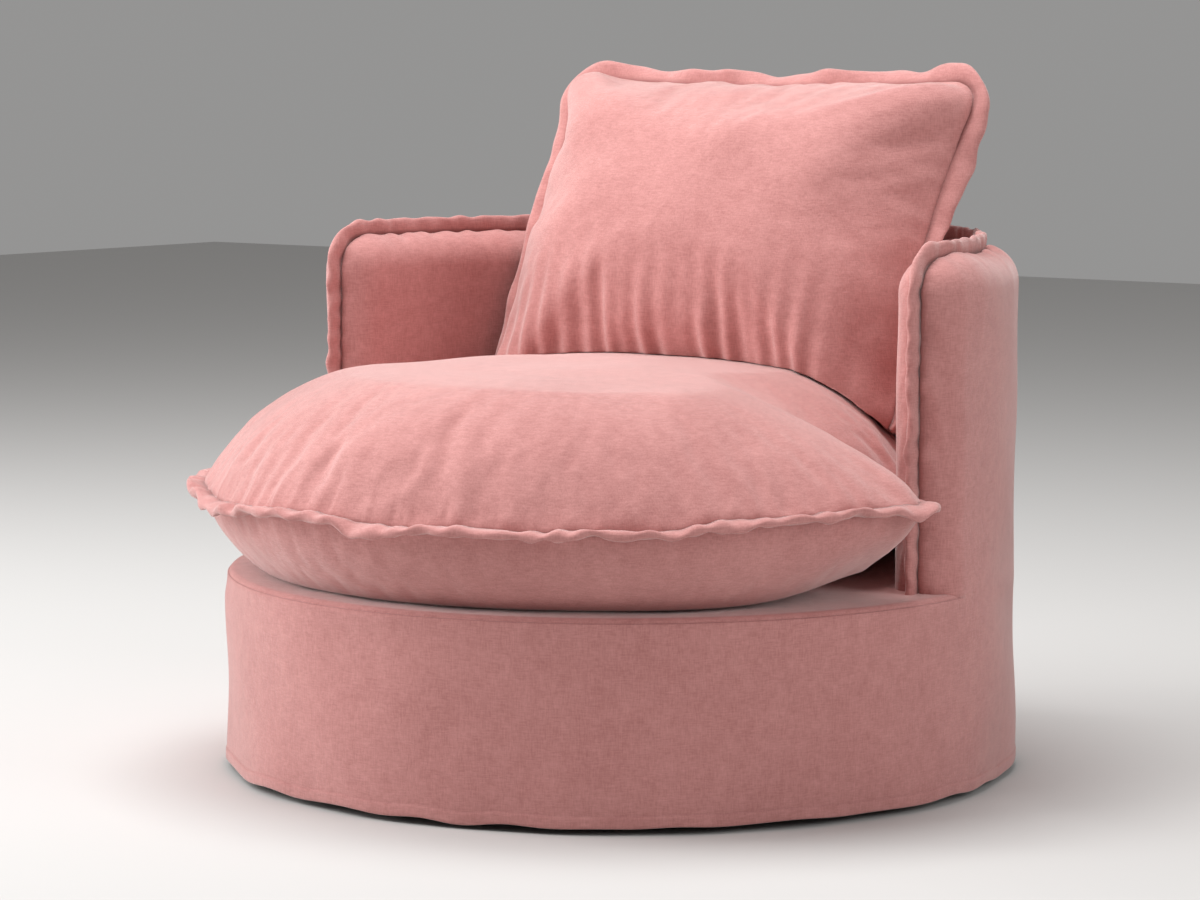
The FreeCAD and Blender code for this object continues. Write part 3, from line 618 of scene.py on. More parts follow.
@dataclass(frozen=True)
class Metal:
    """Plated or polished metal."""

    name: str
    colour: Triple
    rough: float
    worn: float = 0.12

    def make(self) -> bpy.types.Material:
        """Builds the material: soft smears dull it and long fine scratches bump it.

        Returns:
            The material.
        """
        board = Board(self.name)
        smears = board.noise(38.0, 4.0)
        scratches = board.noise(1.0, 2.0, board.stretched((40, 900, 900)))
        dull = tuple(0.72 * channel for channel in self.colour)
        return board.finish(Base_Color=board.blend(smears.between(0.35, 0.7), dull, self.colour),
                            Metallic=1.0, Roughness=self.rough + smears * self.worn,
                            Normal=board.bump(scratches, 0.0001, 0.4))


@dataclass(frozen=True)
class Moulded:
    """Rubber or plastic with a fine moulded grain."""

    name: str
    colour: Triple
    rough: float

    def make(self) -> bpy.types.Material:
        """Builds the material: patches of dust over a fine grain.

        Returns:
            The material.
        """
        board = Board(self.name)
        grain = board.noise(900.0, 2.0)
        dust = board.noise(24.0, 4.0)
        dusty = tuple(min(1.0, channel * 1.25 + 0.03) for channel in self.colour)
        mask = dust.between(0.45, 0.8) * 0.6
        return board.finish(Base_Color=board.blend(mask, self.colour, dusty),
                            Roughness=self.rough + dust * 0.15,
                            Normal=board.bump(grain, 0.0002, 0.5))


@dataclass(frozen=True)
class Woven:
    """Plain weave: threads one way over threads the other way."""

    name: str
    colour: Triple
    thread: float = 0.0009
    rough: float = 0.85

    def make(self) -> bpy.types.Material:
        """Builds the material: sines along X, Y and Z are the threads, noise the fuzz.

        Returns:
            The material.
        """
        board = Board(self.name)
        count = 2 * math.pi / self.thread
        waves = [board.maths("SINE", part * count) for part in board.parts()]
        weave = (waves[0] * waves[1] + waves[2]) * 0.25 + 0.5
        fuzz = board.noise(220.0, 3.0)
        tone = weave * 0.6 + fuzz * 0.4
        deep = tuple(0.55 * channel for channel in self.colour)
        return board.finish(Base_Color=board.blend(tone.between(0.2, 0.8), deep, self.colour),
                            Roughness=self.rough + fuzz * 0.1,
                            Normal=board.bump(weave + fuzz, self.thread * 0.4, 0.6))


@dataclass(frozen=True)
class ZipTape(Woven):
    """Woven tape with a coil of teeth along its middle, round a level circle."""

    level: float = 0.3131
    radius: float = 0.368
    pitch: float = 0.0016

    def make(self) -> bpy.types.Material:
        """Builds the material: tape on both sides of the teeth, with painted shade along the split
        in the middle.

        The teeth are a sine of the angle about the Z axis, and fade off the level.

        Returns:
            The material.
        """
        board = Board(self.name)
        x, y, z = board.parts()
        count = 2 * math.pi * self.radius / self.pitch
        teeth = board.maths("SINE", board.maths("ARCTAN2", y, x) * count)
        off = board.maths("ABSOLUTE", z - self.level)
        coil = 1 - off.between(0.0026, 0.0034)
        # Painted shade: a dark line along the split between the two halves of the teeth.
        split = 1 - off.between(0.0002, 0.0008)
        fuzz = board.noise(700.0, 2.0)
        deep = tuple(0.45 * channel for channel in self.colour)
        tone = fuzz * 0.4 + coil * (teeth * 0.3 + 0.4)
        return board.finish(Base_Color=board.blend(tone - split * 0.6, deep, self.colour),
                            Roughness=self.rough - coil * 0.35,
                            Normal=board.bump(coil * (1 + teeth * 0.8) + fuzz * 0.3, 0.0008, 0.8))


FINISHES = {
    "velvet": Velvet(),
    "plywood": Grain("plywood", (0.56, 0.36, 0.19), (0.40, 0.235, 0.11)),
    "timber": Grain("timber", (0.46, 0.27, 0.13), (0.31, 0.165, 0.07), 20.0),
    "hardboard": Grain("hardboard", (0.165, 0.085, 0.036), (0.12, 0.058, 0.024), 1.5, 0.5),
    "rubber": Moulded("rubber", (0.022, 0.022, 0.023), 0.72),
    "race_steel": Metal("race_steel", (0.60, 0.61, 0.63), 0.34),
    "ball_steel": Metal("ball_steel", (0.78, 0.78, 0.80), 0.08, 0.06),
    "screw_steel": Metal("screw_steel", (0.62, 0.50, 0.24), 0.30),
    "nylon": Moulded("nylon", (0.76, 0.74, 0.66), 0.48),
    "webbing": Woven("webbing", (0.050, 0.045, 0.040), 0.0026),
    "dust_cloth": Woven("dust_cloth", (0.018, 0.018, 0.020), 0.0018, 0.8),
    "wadding": Moulded("wadding", (0.80, 0.78, 0.73), 0.9),
    "foam": Moulded("foam", (0.72, 0.60, 0.33), 0.85),
    "zip_tape": ZipTape("zip_tape", (0.33, 0.125, 0.120)),
    "zip_metal": Metal("zip_metal", (0.42, 0.20, 0.19), 0.32),
}


@dataclass
class Wardrobe:
    """Every finish, made once and given out by the record's slot names."""

    made: dict[str, bpy.types.Material] = field(default_factory=dict)

    def get(self, slot: str) -> bpy.types.Material:
        """The material of a slot, made when it is first asked for.

        Args:
            slot: the record's material slot.

        Returns:
            The material.
        """
        if slot not in self.made:
            self.made[slot] = FINISHES[slot].make()
        return self.made[slot]

    def dress(self, piece: bpy.types.Object, slot: str, body: str, *nodes: str) -> None:
        """Finishes a new piece and ties it to the frame.

        Args:
            piece: the new object.
            slot: the record's material slot.
            body: the CAD body that it rides on.
            nodes: the CAD nodes that it stands for.
        """
        piece.data.materials.clear()
        piece.data.materials.append(self.get(slot))
        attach(piece, body)
        if nodes:
            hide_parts(*nodes)
        LOG.info("%s: %d points on %s", piece.name, len(piece.data.vertices), body)

    def dress_nodes(self) -> None:
        """Gives every CAD node the finish of its slot."""
        for row in frame["record"]["subparts"]:
            node = frame["nodes"][row["node"]]
            node.data.materials.clear()
            node.data.materials.append(self.get(row["material_slot"]))


# The drum and the wall


class Side(Enum):
    """The two covers that meet in the wall's flange."""

    OUTER = 1
    INNER = -1


@dataclass
class Upholstery:
    """Covers of the drum, the deck and the wall, and the wall's flange."""

    radius: float = 0.5
    middle: float = 0.455
    half: float = 0.045
    shoulder: float = 0.613
    deck: float = 0.255
    seam: float = 0.247
    hem: float = 0.008
    end: float = math.radians(3.2)
    foot: float = 0.250
    thickness: float = 0.002
    rim: float = 0.4985
    tucked_rim: float = 0.450
    rim_round: float = 0.008
    skirting: float = 0.012

    def __post_init__(self) -> None:
        """Works out the lengths along the flange."""
        self.upright = self.shoulder - self.foot
        self.round = self.half * math.pi / 2
        self.sweep = math.pi - 2 * self.end
        self.total = 2 * (self.upright + self.round) + self.middle * self.sweep

    def levels(self, side: Side) -> tuple[Array, Array]:
        """Rows of the wall's cover.

        They rise evenly up to the shoulder, then turn up to the vertical in steps
        that get closer towards the seam on top.

        Args:
            side: the outer or the inner cover.

        Returns:
            Their heights, and their angles up round the wall's top.
        """
        low = self.seam if side is Side.OUTER else self.deck - self.skirting
        rise = np.linspace(low, self.shoulder, 40)
        bend = math.pi / 2 * (1 - np.linspace(1, 0, 18)[1:] ** 1.25)
        heights = np.concatenate([rise, np.full(len(bend), self.shoulder)])
        return heights, np.concatenate([np.zeros(len(rise)), bend])

    def gathers(self, along: Array, away: Array, side: Side) -> tuple[Array, Array]:
        """How far the cover stands off its plain form near the flange.

        It dips to the seam in a narrow groove, and small gathers run off the
        seam and fade out within a few centimetres.

        Args:
            along: length along the flange.
            away: distance from the flange.
            side: the outer or the inner cover.

        Returns:
            The offset and the depth of the crease, a value a point.
        """
        seed = 5 if side is Side.OUTER else 9
        groove = np.exp(-((away / 0.0055) ** 2))
        fine = hum(along[..., None], 0.034, seed) * np.exp(-away / 0.020)
        broad = hum(along[..., None], 0.085, seed + 1) * np.exp(-away / 0.060)
        offset = -0.0050 * groove + (0.0013 * fine + 0.0016 * broad) * (1 - groove)
        return offset, np.exp(-((away / 0.0032) ** 2))

    def nose(self, right: bool) -> tuple[Array, Array, Array]:
        """An arm's rounded front, in plan.

        Args:
            right: the arm at +X, or else the one at -X.

        Returns:
            Its middle, and its directions outward and forward.
        """
        sign = 1 if right else -1
        outward = np.array([sign * math.cos(self.end), math.sin(self.end)])
        forward = np.array([sign * math.sin(self.end), -math.cos(self.end)])
        return self.middle * outward, outward, forward

    def wall_grid(self, work: Patchwork, side: Side, centre: Array, lean: Array,
                  along: Array, away: Array) -> None:
        """Adds a part of the wall's cover.

        A point is its column's middle, plus half the wall's thickness along
        the column's direction as it turns up to the vertical, plus the
        gathers' offset in that same direction.

        Args:
            work: where the grid goes.
            side: the outer or the inner cover.
            centre: the columns' middles in plan.
            lean: the columns' directions in plan.
            along: length along the flange, a value a point.
            away: distance from the flange, a value a point.
        """
        heights, bend = self.levels(side)
        out = np.cos(bend)[:, None, None] * lift(lean, 0.0) + np.sin(bend)[:, None, None] * UP
        base = lift(np.broadcast_to(centre, (len(heights), *centre.shape)), heights[:, None])
        offset, crease = self.gathers(along, away, side)
        low = heights[:, None] - heights[0]
        offset = offset + self.sag(base + self.half * out, side) * np.minimum(1, low / 0.02)
        work.add(base + (self.half + offset)[..., None] * out, out, crease)

    def sag(self, points: Array, side: Side) -> Array:
        """Slow swells of the padding under the cover."""
        size = 0.0011 if side is Side.OUTER else 0.0007
        return size * hum(points, 0.16, 21 + side.value)

    def wall_cover(self, work: Patchwork, side: Side) -> None:
        """Adds the wall's cover on one side: its arc and two rounded fronts.

        On a front, the length along the flange and the distance from it pass
        smoothly from the arc's values to those of the front's own seam.

        Args:
            work: where the grids go.
            side: the outer or the inner cover.
        """
        heights, bend = self.levels(side)
        up = heights - self.foot + self.half * bend
        turn = np.linspace(self.end, math.pi - self.end, 330)
        radial = around(turn)
        crest = self.upright + self.round
        below = (crest - up)[:, None]
        along = np.broadcast_to(crest + self.middle * (turn - self.end),
                                (len(heights), len(turn)))
        away = np.broadcast_to(below, along.shape)
        self.wall_grid(work, side, self.middle * radial, side.value * radial, along, away)
        swing = np.linspace(0, math.pi / 2, 17)
        reach = self.half * np.cos(bend)[:, None] * (math.pi / 2 - swing)
        share = ease(np.broadcast_to(swing, reach.shape), 0.0, 1.2)
        away = share * reach + (1 - share) * below
        climb = share * up[:, None] + (1 - share) * crest
        for right in (True, False):
            centre, outward, forward = self.nose(right)
            lean = side.value * np.cos(swing)[:, None] * outward + np.sin(swing)[:, None] * forward
            along = climb if right else self.total - climb
            self.wall_grid(work, side, np.broadcast_to(centre, lean.shape), lean, along, away)

    def hem_wave(self, turn: Array) -> Array:
        """How the skirt's hem swings, round the drum."""
        spots = around(turn) * self.radius
        return 0.6 * hum(spots, 0.36, 3) + 0.4 * hum(spots, 0.17, 4)

    def skirt(self, work: Patchwork, turn: Array, tucked: bool) -> None:
        """Adds the drum's cover between two angles, from its hem to the seam.

        Its radius is the drum's, plus folds that are widest at the hem and
        fade upwards, less a thin groove where the hem is stitched.

        Args:
            work: where the grid goes.
            turn: its columns' angles from the X axis.
            tucked: its top is tucked in at the deck, where no wall stands.
        """
        low, stitch_depth = self.hem, 0.0010
        heights = np.concatenate([
            [low, low + 0.0008, low + 0.0022], np.linspace(low + 0.005, low + 0.0125, 4),
            low + np.array([0.0140, 0.0150, 0.0160, 0.0175]),
            np.linspace(low + 0.022, self.seam, 44)])
        rolled = np.array([0.0016, 0.0005] + [0.0] * (len(heights) - 2))
        stitched = stitch_depth * np.exp(-(((heights - low - 0.015) / 0.0011) ** 2))
        wave = self.hem_wave(turn)
        flat = around(turn)
        spots = flat * self.radius
        fade = ease(heights, self.seam, low) ** 1.4
        bulge = 0.0026 * wave * fade[:, None]
        base = lift(np.broadcast_to(spots, (len(heights), *spots.shape)), heights[:, None])
        swell = 0.0011 * hum(base, 0.16, 22) * ease(heights, self.seam, self.seam - 0.03)[:, None]
        band = 0.0012 * ease(heights, low + 0.0165, low + 0.0148)
        radius = self.radius + (band - rolled - stitched)[:, None] + bulge + swell
        edge = 0.0022 * (0.5 * hum(spots, 0.11, 8) + 0.5 * wave)
        edge = edge * ease(heights, low + 0.06, low)[:, None]
        rows = lift(radius[..., None] * flat, heights[:, None] + edge)
        # Crease of the stitch groove and of the tuck below, painted as shade by the velvet.
        crease = np.broadcast_to((stitched / stitch_depth * 0.3)[:, None], rows.shape[:2])
        if tucked:
            tuck = lift(np.stack([0.4992 * flat, 0.4965 * flat, 0.490 * flat]),
                        np.array([0.0012, 0.0016, 0.0010])[:, None] + self.seam)
            rows = np.concatenate([rows, tuck])
            crease = np.concatenate([crease, np.repeat([[0.5], [1.0], [1.0]], len(turn), 1)])
        work.add(rows, lift(np.broadcast_to(flat, (*rows.shape[:2], 2)), 0.0), crease)

    def outside(self) -> bpy.types.Object:
        """The outer cover: one cloth from the hem up to the wall's flange.

        Returns:
            The cover, with its thickness.
        """
        work = Patchwork()
        self.skirt(work, np.linspace(self.end, math.pi - self.end, 330), False)
        self.skirt(work, np.linspace(math.pi - self.end, 2 * math.pi + self.end, 360), True)
        self.wall_cover(work, Side.OUTER)
        cover = work.sew("outer_upholstery")
        thicken(cover, self.thickness, -1)
        return cover

    def inside(self) -> bpy.types.Object:
        """The inner cover of the wall.

        Returns:
            The cover, with its thickness.
        """
        work = Patchwork()
        self.wall_cover(work, Side.INNER)
        cover = work.sew("inner_upholstery")
        thicken(cover, self.thickness, -1)
        return cover

    def flange(self) -> bpy.types.Object:
        """The gathered flange along the wall's edge, from deck to deck.

        Its path climbs an arm's front, turns over the rounded top, follows the
        wall and comes down the other arm. Its section leans to and fro and
        thickens in short bulges.

        Returns:
            The flange.
        """
        count = int(self.total / 0.0042)
        run = np.linspace(0, self.total, count)
        mirrored = run > self.total / 2
        short = np.where(mirrored, self.total - run, run)
        bend = np.clip((short - self.upright) / self.half, 0, math.pi / 2)
        turn = self.end + np.maximum(short - self.upright - self.round, 0) / self.middle
        turn = np.where(mirrored, math.pi - turn, turn)
        across = lift(around(turn), 0.0)
        sideways = np.where(mirrored, -1.0, 1.0) * math.sin(self.end)
        forward = lift(np.stack([sideways, np.full(count, -math.cos(self.end))], -1), 0.0)
        out = np.cos(bend)[:, None] * forward + np.sin(bend)[:, None] * UP
        height = np.minimum(short + self.foot, self.shoulder)
        path = self.middle * across + height[:, None] * UP + self.half * out
        lean = 0.0010 * hum(run[:, None], 0.042, 12) + 0.0016 * hum(run[:, None], 0.12, 13)
        lean = lean * ease(short, 0.0, 0.03)
        fat = 1 + 0.15 * hum(run[:, None], 0.033, 14)
        tall = 0.0185 + 0.0009 * hum(run[:, None], 0.040, 15)
        section = flange_section(ROPE, tall, 0.0048 * fat, lean, 1.2)
        return ribbon("wall_edge_flange", path, out, across, section, False)

    def deck_top(self) -> bpy.types.Object:
        """The deck: a disc with a slight crown and a rounded, seamed rim.

        Under the wall its rim is drawn in, so it ends inside the padding.

        Returns:
            The deck's cover.
        """
        turn = np.linspace(0, 2 * math.pi, 480, endpoint=False)
        under = (turn > self.end) & (turn < math.pi - self.end)
        rim = np.where(under, self.tucked_rim, self.rim)
        bend = np.linspace(0, math.pi / 2, 9)
        inner = np.array([0.0, 0.08, 0.17, 0.26, 0.33, 0.38, 0.42, 0.45, 0.47, 0.482])
        rounded = self.rim - self.rim_round + self.rim_round * np.sin(bend)
        share = np.concatenate([inner / self.rim, rounded / self.rim, [0.990, 0.975]])
        drop = np.concatenate([np.zeros(len(inner)), self.rim_round * (1 - np.cos(bend)),
                               [0.0090, 0.0095]])
        radius = share[:, None] * rim
        spots = radius[..., None] * around(turn)
        swell = 0.0009 * hum(spots, 0.13, 31) * ease(0.49 - radius, 0.0, 0.05) - 0.0009
        closed = lift(spots[-1:] * 0.0, np.full((1, len(turn)), self.deck - self.skirting))
        grid = np.concatenate([lift(spots, self.deck - drop[:, None] + swell), closed])
        # Crease of the rim's seam, painted as shade by the velvet.
        crease = np.concatenate([np.zeros(len(share) - 4), [0.0, 0.5, 1.0, 1.0, 1.0]])[:, None]
        work = Patchwork()
        middle = np.array([0.0, 0.0, self.deck - 0.006])
        work.add(grid, grid - middle, np.broadcast_to(crease, grid.shape[:2]), False, True)
        return work.sew("deck_upholstery")

    def build(self, wardrobe: Wardrobe) -> None:
        """Makes and dresses the covers.

        Args:
            wardrobe: where their finish comes from.
        """
        outside, inside = self.outside(), self.inside()
        wardrobe.dress(outside, "velvet", "chair", "outer_cover", "drum_padding")
        wardrobe.dress(inside, "velvet", "chair", "inner_cover", "wall_padding")
        wardrobe.dress(self.flange(), "velvet", "chair", "wall_flange")
        deck = self.deck_top()
        wardrobe.dress(deck, "velvet", "chair", "deck_cover", "deck_foam")


# The loose cushions


@dataclass
class Cushion:
    """A cushion of two crowned panels, puffed up by a short cloth simulation."""

    voxel: float = 0.006
    pressure: float = 4.0
    steps: int = 20
    slack: float = -0.012

    def inflate(self, piece: bpy.types.Object, held: Array, cap: Array) -> Array:
        """Blows a closed mesh up as cloth and caps how far its points move.

        Args:
            piece: the object, already remeshed.
            held: 0 to 1 a point, how firmly it stays.
            cap: the most that a point may move.

        Returns:
            The points' new places.
        """
        start = read_points(piece)
        group = piece.vertex_groups.new(name="held")
        for level in np.unique(np.round(held, 1)):
            members = np.flatnonzero(np.round(held, 1) == level)
            if level > 0:
                group.add(members.tolist(), float(level), "REPLACE")
        cloth = piece.modifiers.new("cloth", "CLOTH")
        rules = cloth.settings
        rules.quality = 4
        rules.mass = 0.3
        rules.tension_stiffness = rules.compression_stiffness = 12
        rules.shear_stiffness = 6
        rules.bending_stiffness = 0.6
        rules.use_pressure = True
        rules.uniform_pressure_force = self.pressure
        rules.shrink_min = self.slack
        rules.vertex_group_mass = "held"
        rules.pin_stiffness = 1.0
        rules.effector_weights.gravity = 0
        cloth.collision_settings.use_collision = False
        cloth.point_cache.frame_start = 1
        cloth.point_cache.frame_end = self.steps
        scene = bpy.context.scene
        for step in range(1, self.steps + 1):
            scene.frame_set(step)
        settle(piece)
        scene.frame_set(1)
        piece.vertex_groups.clear()
        moved = read_points(piece) - start
        length = np.linalg.norm(moved, axis=1)
        share = np.minimum(1, cap / np.maximum(length, 1e-9))
        return start + moved * share[:, None]

    def remesh(self, piece: bpy.types.Object) -> None:
        """Rebuilds a closed mesh from small even faces.

        Args:
            piece: the object.
        """
        grid = piece.modifiers.new("even", "REMESH")
        grid.mode = "VOXEL"
        grid.voxel_size = self.voxel
        grid.use_smooth_shade = True
        settle(piece)

    def refine(self, piece: bpy.types.Object) -> None:
        """Evens out the smallest wrinkles, then divides every face once.

        Args:
            piece: the object.
        """
        calm = piece.modifiers.new("calm", "SMOOTH")
        calm.factor = 0.5
        calm.iterations = 8
        finer = piece.modifiers.new("finer", "SUBSURF")
        finer.levels = finer.render_levels = 1
        settle(piece)


# Panels of the cushions: share of the way out, rise, and roundness in plan
SEAT_TOP = np.array([
    (1.0, 0.0, 0.0), (0.985, 0.15, 0.0), (0.965, 0.32, 0.05), (0.93, 0.49, 0.12),
    (0.87, 0.64, 0.25), (0.78, 0.77, 0.45), (0.62, 0.89, 0.75), (0.42, 0.965, 1.0),
    (0.24, 1.0, 1.0), (0.0, 1.006, 1.0)])
SEAT_LOW = np.array([
    (1.0, 0.0, 0.0), (0.985, 0.2, 0.0), (0.955, 0.46, 0.0), (0.91, 0.72, 0.0),
    (0.84, 1.0, 0.0), (0.6, 1.0, 0.0), (0.3, 1.0, 0.0), (0.0, 1.0, 0.0)])
BACK_PANEL = np.array([
    (1.0, 0.0, 0.0), (0.985, 0.15, 0.0), (0.96, 0.32, 0.03), (0.92, 0.49, 0.1),
    (0.85, 0.65, 0.22), (0.74, 0.79, 0.45), (0.58, 0.905, 0.7), (0.4, 0.97, 0.9),
    (0.22, 1.0, 1.0), (0.0, 1.006, 1.0)])


def finer_levels(table: Array, each: int) -> Array:
    """A panel's levels with more rows between each two, in straight steps."""
    place = np.linspace(0, len(table) - 1, (len(table) - 1) * each + 1)
    return np.stack([np.interp(place, np.arange(len(table)), table[:, i]) for i in range(3)], -1)


def crowned(outline: Array, table: Array, centre: Array, half: tuple[float, float],
            depth: float) -> Array:
    """One crowned panel of a cushion.

    A point of the outline is drawn towards the panel's middle by the level's
    share, after it is mixed with the point of an ellipse in the same
    direction by the level's roundness, and it stands off the seam by the
    level's share of the depth.

    Args:
        outline: the seam in plan.
        table: rows of share, rise and roundness.
        centre: the panel's middle in plan.
        half: the ellipse's half sizes.
        depth: seam to crown, negative for a panel below.

    Returns:
        Points, as levels by outline points by 3.
    """
    levels = finer_levels(table, 4)
    share, rise, roundness = levels[:, 0], levels[:, 1], levels[:, 2]
    arm = outline - centre
    reach = 1 / np.hypot(arm[:, 0] / half[0], arm[:, 1] / half[1])
    scale = share[:, None] * (1 + roundness[:, None] * (reach - 1))
    return lift(centre + scale[..., None] * arm, (depth * rise)[:, None])


@dataclass
class SeatCushion(Cushion):
    """The loose seat cushion: round in front, eared ahead of the arms."""

    seam: float = 0.3623
    front: float = 0.530
    rear: float = 0.385
    edge: float = -0.0746
    ear_round: float = 0.032
    notch_round: float = 0.035
    crown: float = 0.138
    depth: float = 0.107
    forward: float = 0.110
    round_half: float = 0.455
    flange_width: float = 0.020
    ear: tuple[float, float] = (0.485, -0.095)
    ear_reach: float = 0.12
    pinch_right: float = 0.32
    pinch_left: float = 0.08

    def outline(self) -> Array:
        """The seam in plan, anticlockwise from the front's middle.

        Its right half is the round front, an ear, a straight edge ahead of the
        arm, a notch and the round rear. The left half mirrors it.

        Returns:
            Points by 2, evenly spaced.
        """
        ear_y, notch_y = self.edge - self.ear_round, self.edge + self.notch_round
        ear = (math.sqrt((self.front - self.ear_round) ** 2 - ear_y ** 2), ear_y)
        notch = (math.sqrt((self.rear + self.notch_round) ** 2 - notch_y ** 2), notch_y)
        ear_start = math.atan2(ear[1], ear[0])
        notch_end = math.atan2(notch[1], notch[0])
        run = np.linspace(0, 1, 20, endpoint=False)[:, None]
        straight = (1 - run) * [ear[0], self.edge] + run * [notch[0], self.edge]
        right = np.vstack([
            arc((0, 0), self.front, -math.pi / 2, ear_start),
            arc(ear, self.ear_round, ear_start, math.pi / 2), straight,
            arc(notch, self.notch_round, 1.5 * math.pi, notch_end + math.pi),
            arc((0, 0), self.rear, notch_end, math.pi / 2)])
        left = right[::-1] * [-1, 1]
        return evenly(np.vstack([right, left[:-1]]), 900)

    def rise(self, plan: Array) -> Array:
        """How far the seam wanders: up at the right ear, a little down elsewhere in front.

        Args:
            plan: points, with x and y on the last axis.

        Returns:
            A height a point.
        """
        side = ease(np.abs(plan[..., 0]), 0.30, 0.52) * ease(-plan[..., 1], 0.02, 0.10)
        right = 0.010 * side * (plan[..., 0] > 0) - 0.002 * side * (plan[..., 0] < 0)
        front = ease(-plan[..., 1], 0.1, 0.5)
        return right - 0.005 * front + 0.0035 * front * hum(plan, 0.22, 41)

    def shell(self) -> bpy.types.Object:
        """The cushion before it is puffed up, a little smaller than it ends.

        Its two crowned panels follow the seam's rise, less so away from the seam.

        Returns:
            The closed mesh.
        """
        outline = self.outline()
        centre = np.array([0.0, -self.forward])
        half = (self.round_half, self.round_half)
        upper = crowned(outline, SEAT_TOP, centre, half, self.crown - 0.007)
        lower = crowned(outline, SEAT_LOW, centre, half, 0.0008 - self.depth)
        work = Patchwork()
        middle = np.array([0.0, -self.forward, self.seam])
        for panel in (upper, lower):
            shape = panel + [0, 0, self.seam]
            fade = np.exp(-np.abs(panel[..., 2]) / 0.035)
            shape[..., 2] += self.rise(shape[..., :2]) * fade
            work.add(shape, shape - middle, 0.0, False, True)
        return work.sew("seat_cushion")

    def along(self, points: Array, outline: Array) -> tuple[Array, Array]:
        """Points' directions about the crown's middle, and how far inside the seam they lie."""
        centre = np.array([0, self.forward])
        return inside_seam(points[:, :2] + centre, outline + centre)

    def pleat(self, piece: bpy.types.Object, outline: Array) -> None:
        """Draws pleats in from the seam and marks the seam's crease.

        Points move along their normals by noise that runs round the seam, and
        fades within a few centimetres of it.

        Args:
            piece: the cushion.
            outline: the seam in plan.
        """
        points, normals = read_points(piece), read_normals(piece)
        turn, inward = self.along(points, outline)
        upper = points[:, 2] - self.seam - self.rise(points[:, :2])
        away = np.hypot(inward, upper)
        ring = around(turn) * 0.5
        fade = 1 - np.exp(-((away / 0.012) ** 2))
        fine = hum(ring, 0.042, 51) * np.exp(-away / 0.030)
        broad = hum(ring, 0.10, 52) * np.exp(-away / 0.075)
        side = np.where(upper > 0, 1.0, 0.45)
        dents = hum(points, 0.19, 53) * np.exp(-np.maximum(0.08 - upper, 0) / 0.02)
        short = hum(ring, 0.017, 54) * np.exp(-away / 0.022)
        offset = side * fade * (0.0005 * short + 0.0015 * fine + 0.0022 * broad) + 0.0011 * dents
        rest = self.seam - self.depth
        offset *= ease(points[:, 2], rest + 0.002, rest + 0.03)
        place_points(piece, points + normals * offset[:, None])
        # The crease near the seam is painted as shade by the velvet.
        write(piece, CREASE, np.exp(-((away / 0.0045) ** 2)))

    def pinch(self, piece: bpy.types.Object) -> None:
        """Draws the ears ahead of the arms thin, the right one most.

        Points move towards the seam's height by a share that fades in a bell
        curve round the ear.

        Args:
            piece: the cushion.
        """
        points = read_points(piece)
        apart = np.hypot(np.abs(points[:, 0]) - self.ear[0], points[:, 1] - self.ear[1])
        most = np.where(points[:, 0] > 0, self.pinch_right, self.pinch_left)
        share = most * np.exp(-((apart / self.ear_reach) ** 2))
        points[:, 2] += share * (self.seam + self.rise(points[:, :2]) - points[:, 2])
        place_points(piece, points)

    def flange(self, outline: Array) -> bpy.types.Object:
        """The ruffled flange round the seam.

        It stands straight out of the seam and sways up and down, further
        towards its edge, in long waves with short ones on them.

        Args:
            outline: the seam in plan.

        Returns:
            The flange.
        """
        seam = evenly(outline, 820)
        out = lift(away_from(np.roll(seam, -1, axis=0) - np.roll(seam, 1, axis=0)), 0.0)
        path = lift(seam, self.seam + self.rise(seam))
        front = ease(-seam[:, 1], -0.02, 0.12)
        sway = 0.0029 * hum(seam, 0.050, 61) + 0.0032 * hum(seam, 0.17, 62)
        sway = sway * (0.35 + 0.65 * front)
        fat = 1 + 0.20 * hum(seam, 0.036, 63)
        wide = self.flange_width * (1 + 0.09 * hum(seam, 0.060, 64)) * (0.55 + 0.45 * front)
        section = flange_section(RUFFLE, wide, 0.0050 * fat, sway, 1.3)
        across = np.broadcast_to(UP, path.shape)
        return ribbon("seat_flange_ruffle", path, out, across, section, True)

    def build(self, wardrobe: Wardrobe) -> bpy.types.Object:
        """Makes and dresses the cushion and its flange.

        The seam and the underside are held while it is puffed up, and the low
        rear may hardly move.

        Args:
            wardrobe: where its finish comes from.

        Returns:
            The cushion.
        """
        piece = self.shell()
        outline = self.outline()
        self.remesh(piece)
        points = read_points(piece)
        inward = self.along(points, outline)[1]
        rise = points[:, 2] - self.seam
        near = np.hypot(inward, rise - self.rise(points[:, :2]))
        held = np.where((near < 0.007) | (rise < -self.depth + 0.004), 1.0, 0.0)
        cap = np.where(rise > 0, 0.024, 0.004) * ease(near, 0.0, 0.05)
        behind = ease(points[:, 1], 0.10, 0.18) * (rise < 0)
        cap = cap * (1 - 0.9 * behind)
        place_points(piece, self.inflate(piece, held, cap))
        self.refine(piece)
        self.pleat(piece, outline)
        self.pinch(piece)
        self.level(piece)
        wardrobe.dress(piece, "velvet", "seat_cushion", "seat_cover", "seat_wrap", "seat_core")
        wardrobe.dress(self.flange(outline), "velvet", "seat_cushion", "seat_flange")
        return piece

    def level(self, piece: bpy.types.Object) -> None:
        """Raises what hangs lower than the cushion's flat underside.

        Args:
            piece: the cushion.
        """
        points = read_points(piece)
        points[:, 2] = np.clip(points[:, 2], self.seam - self.depth + 0.0004, None)
        place_points(piece, points)


MAP_HALF = 0.6
MAP_CELL = 0.005


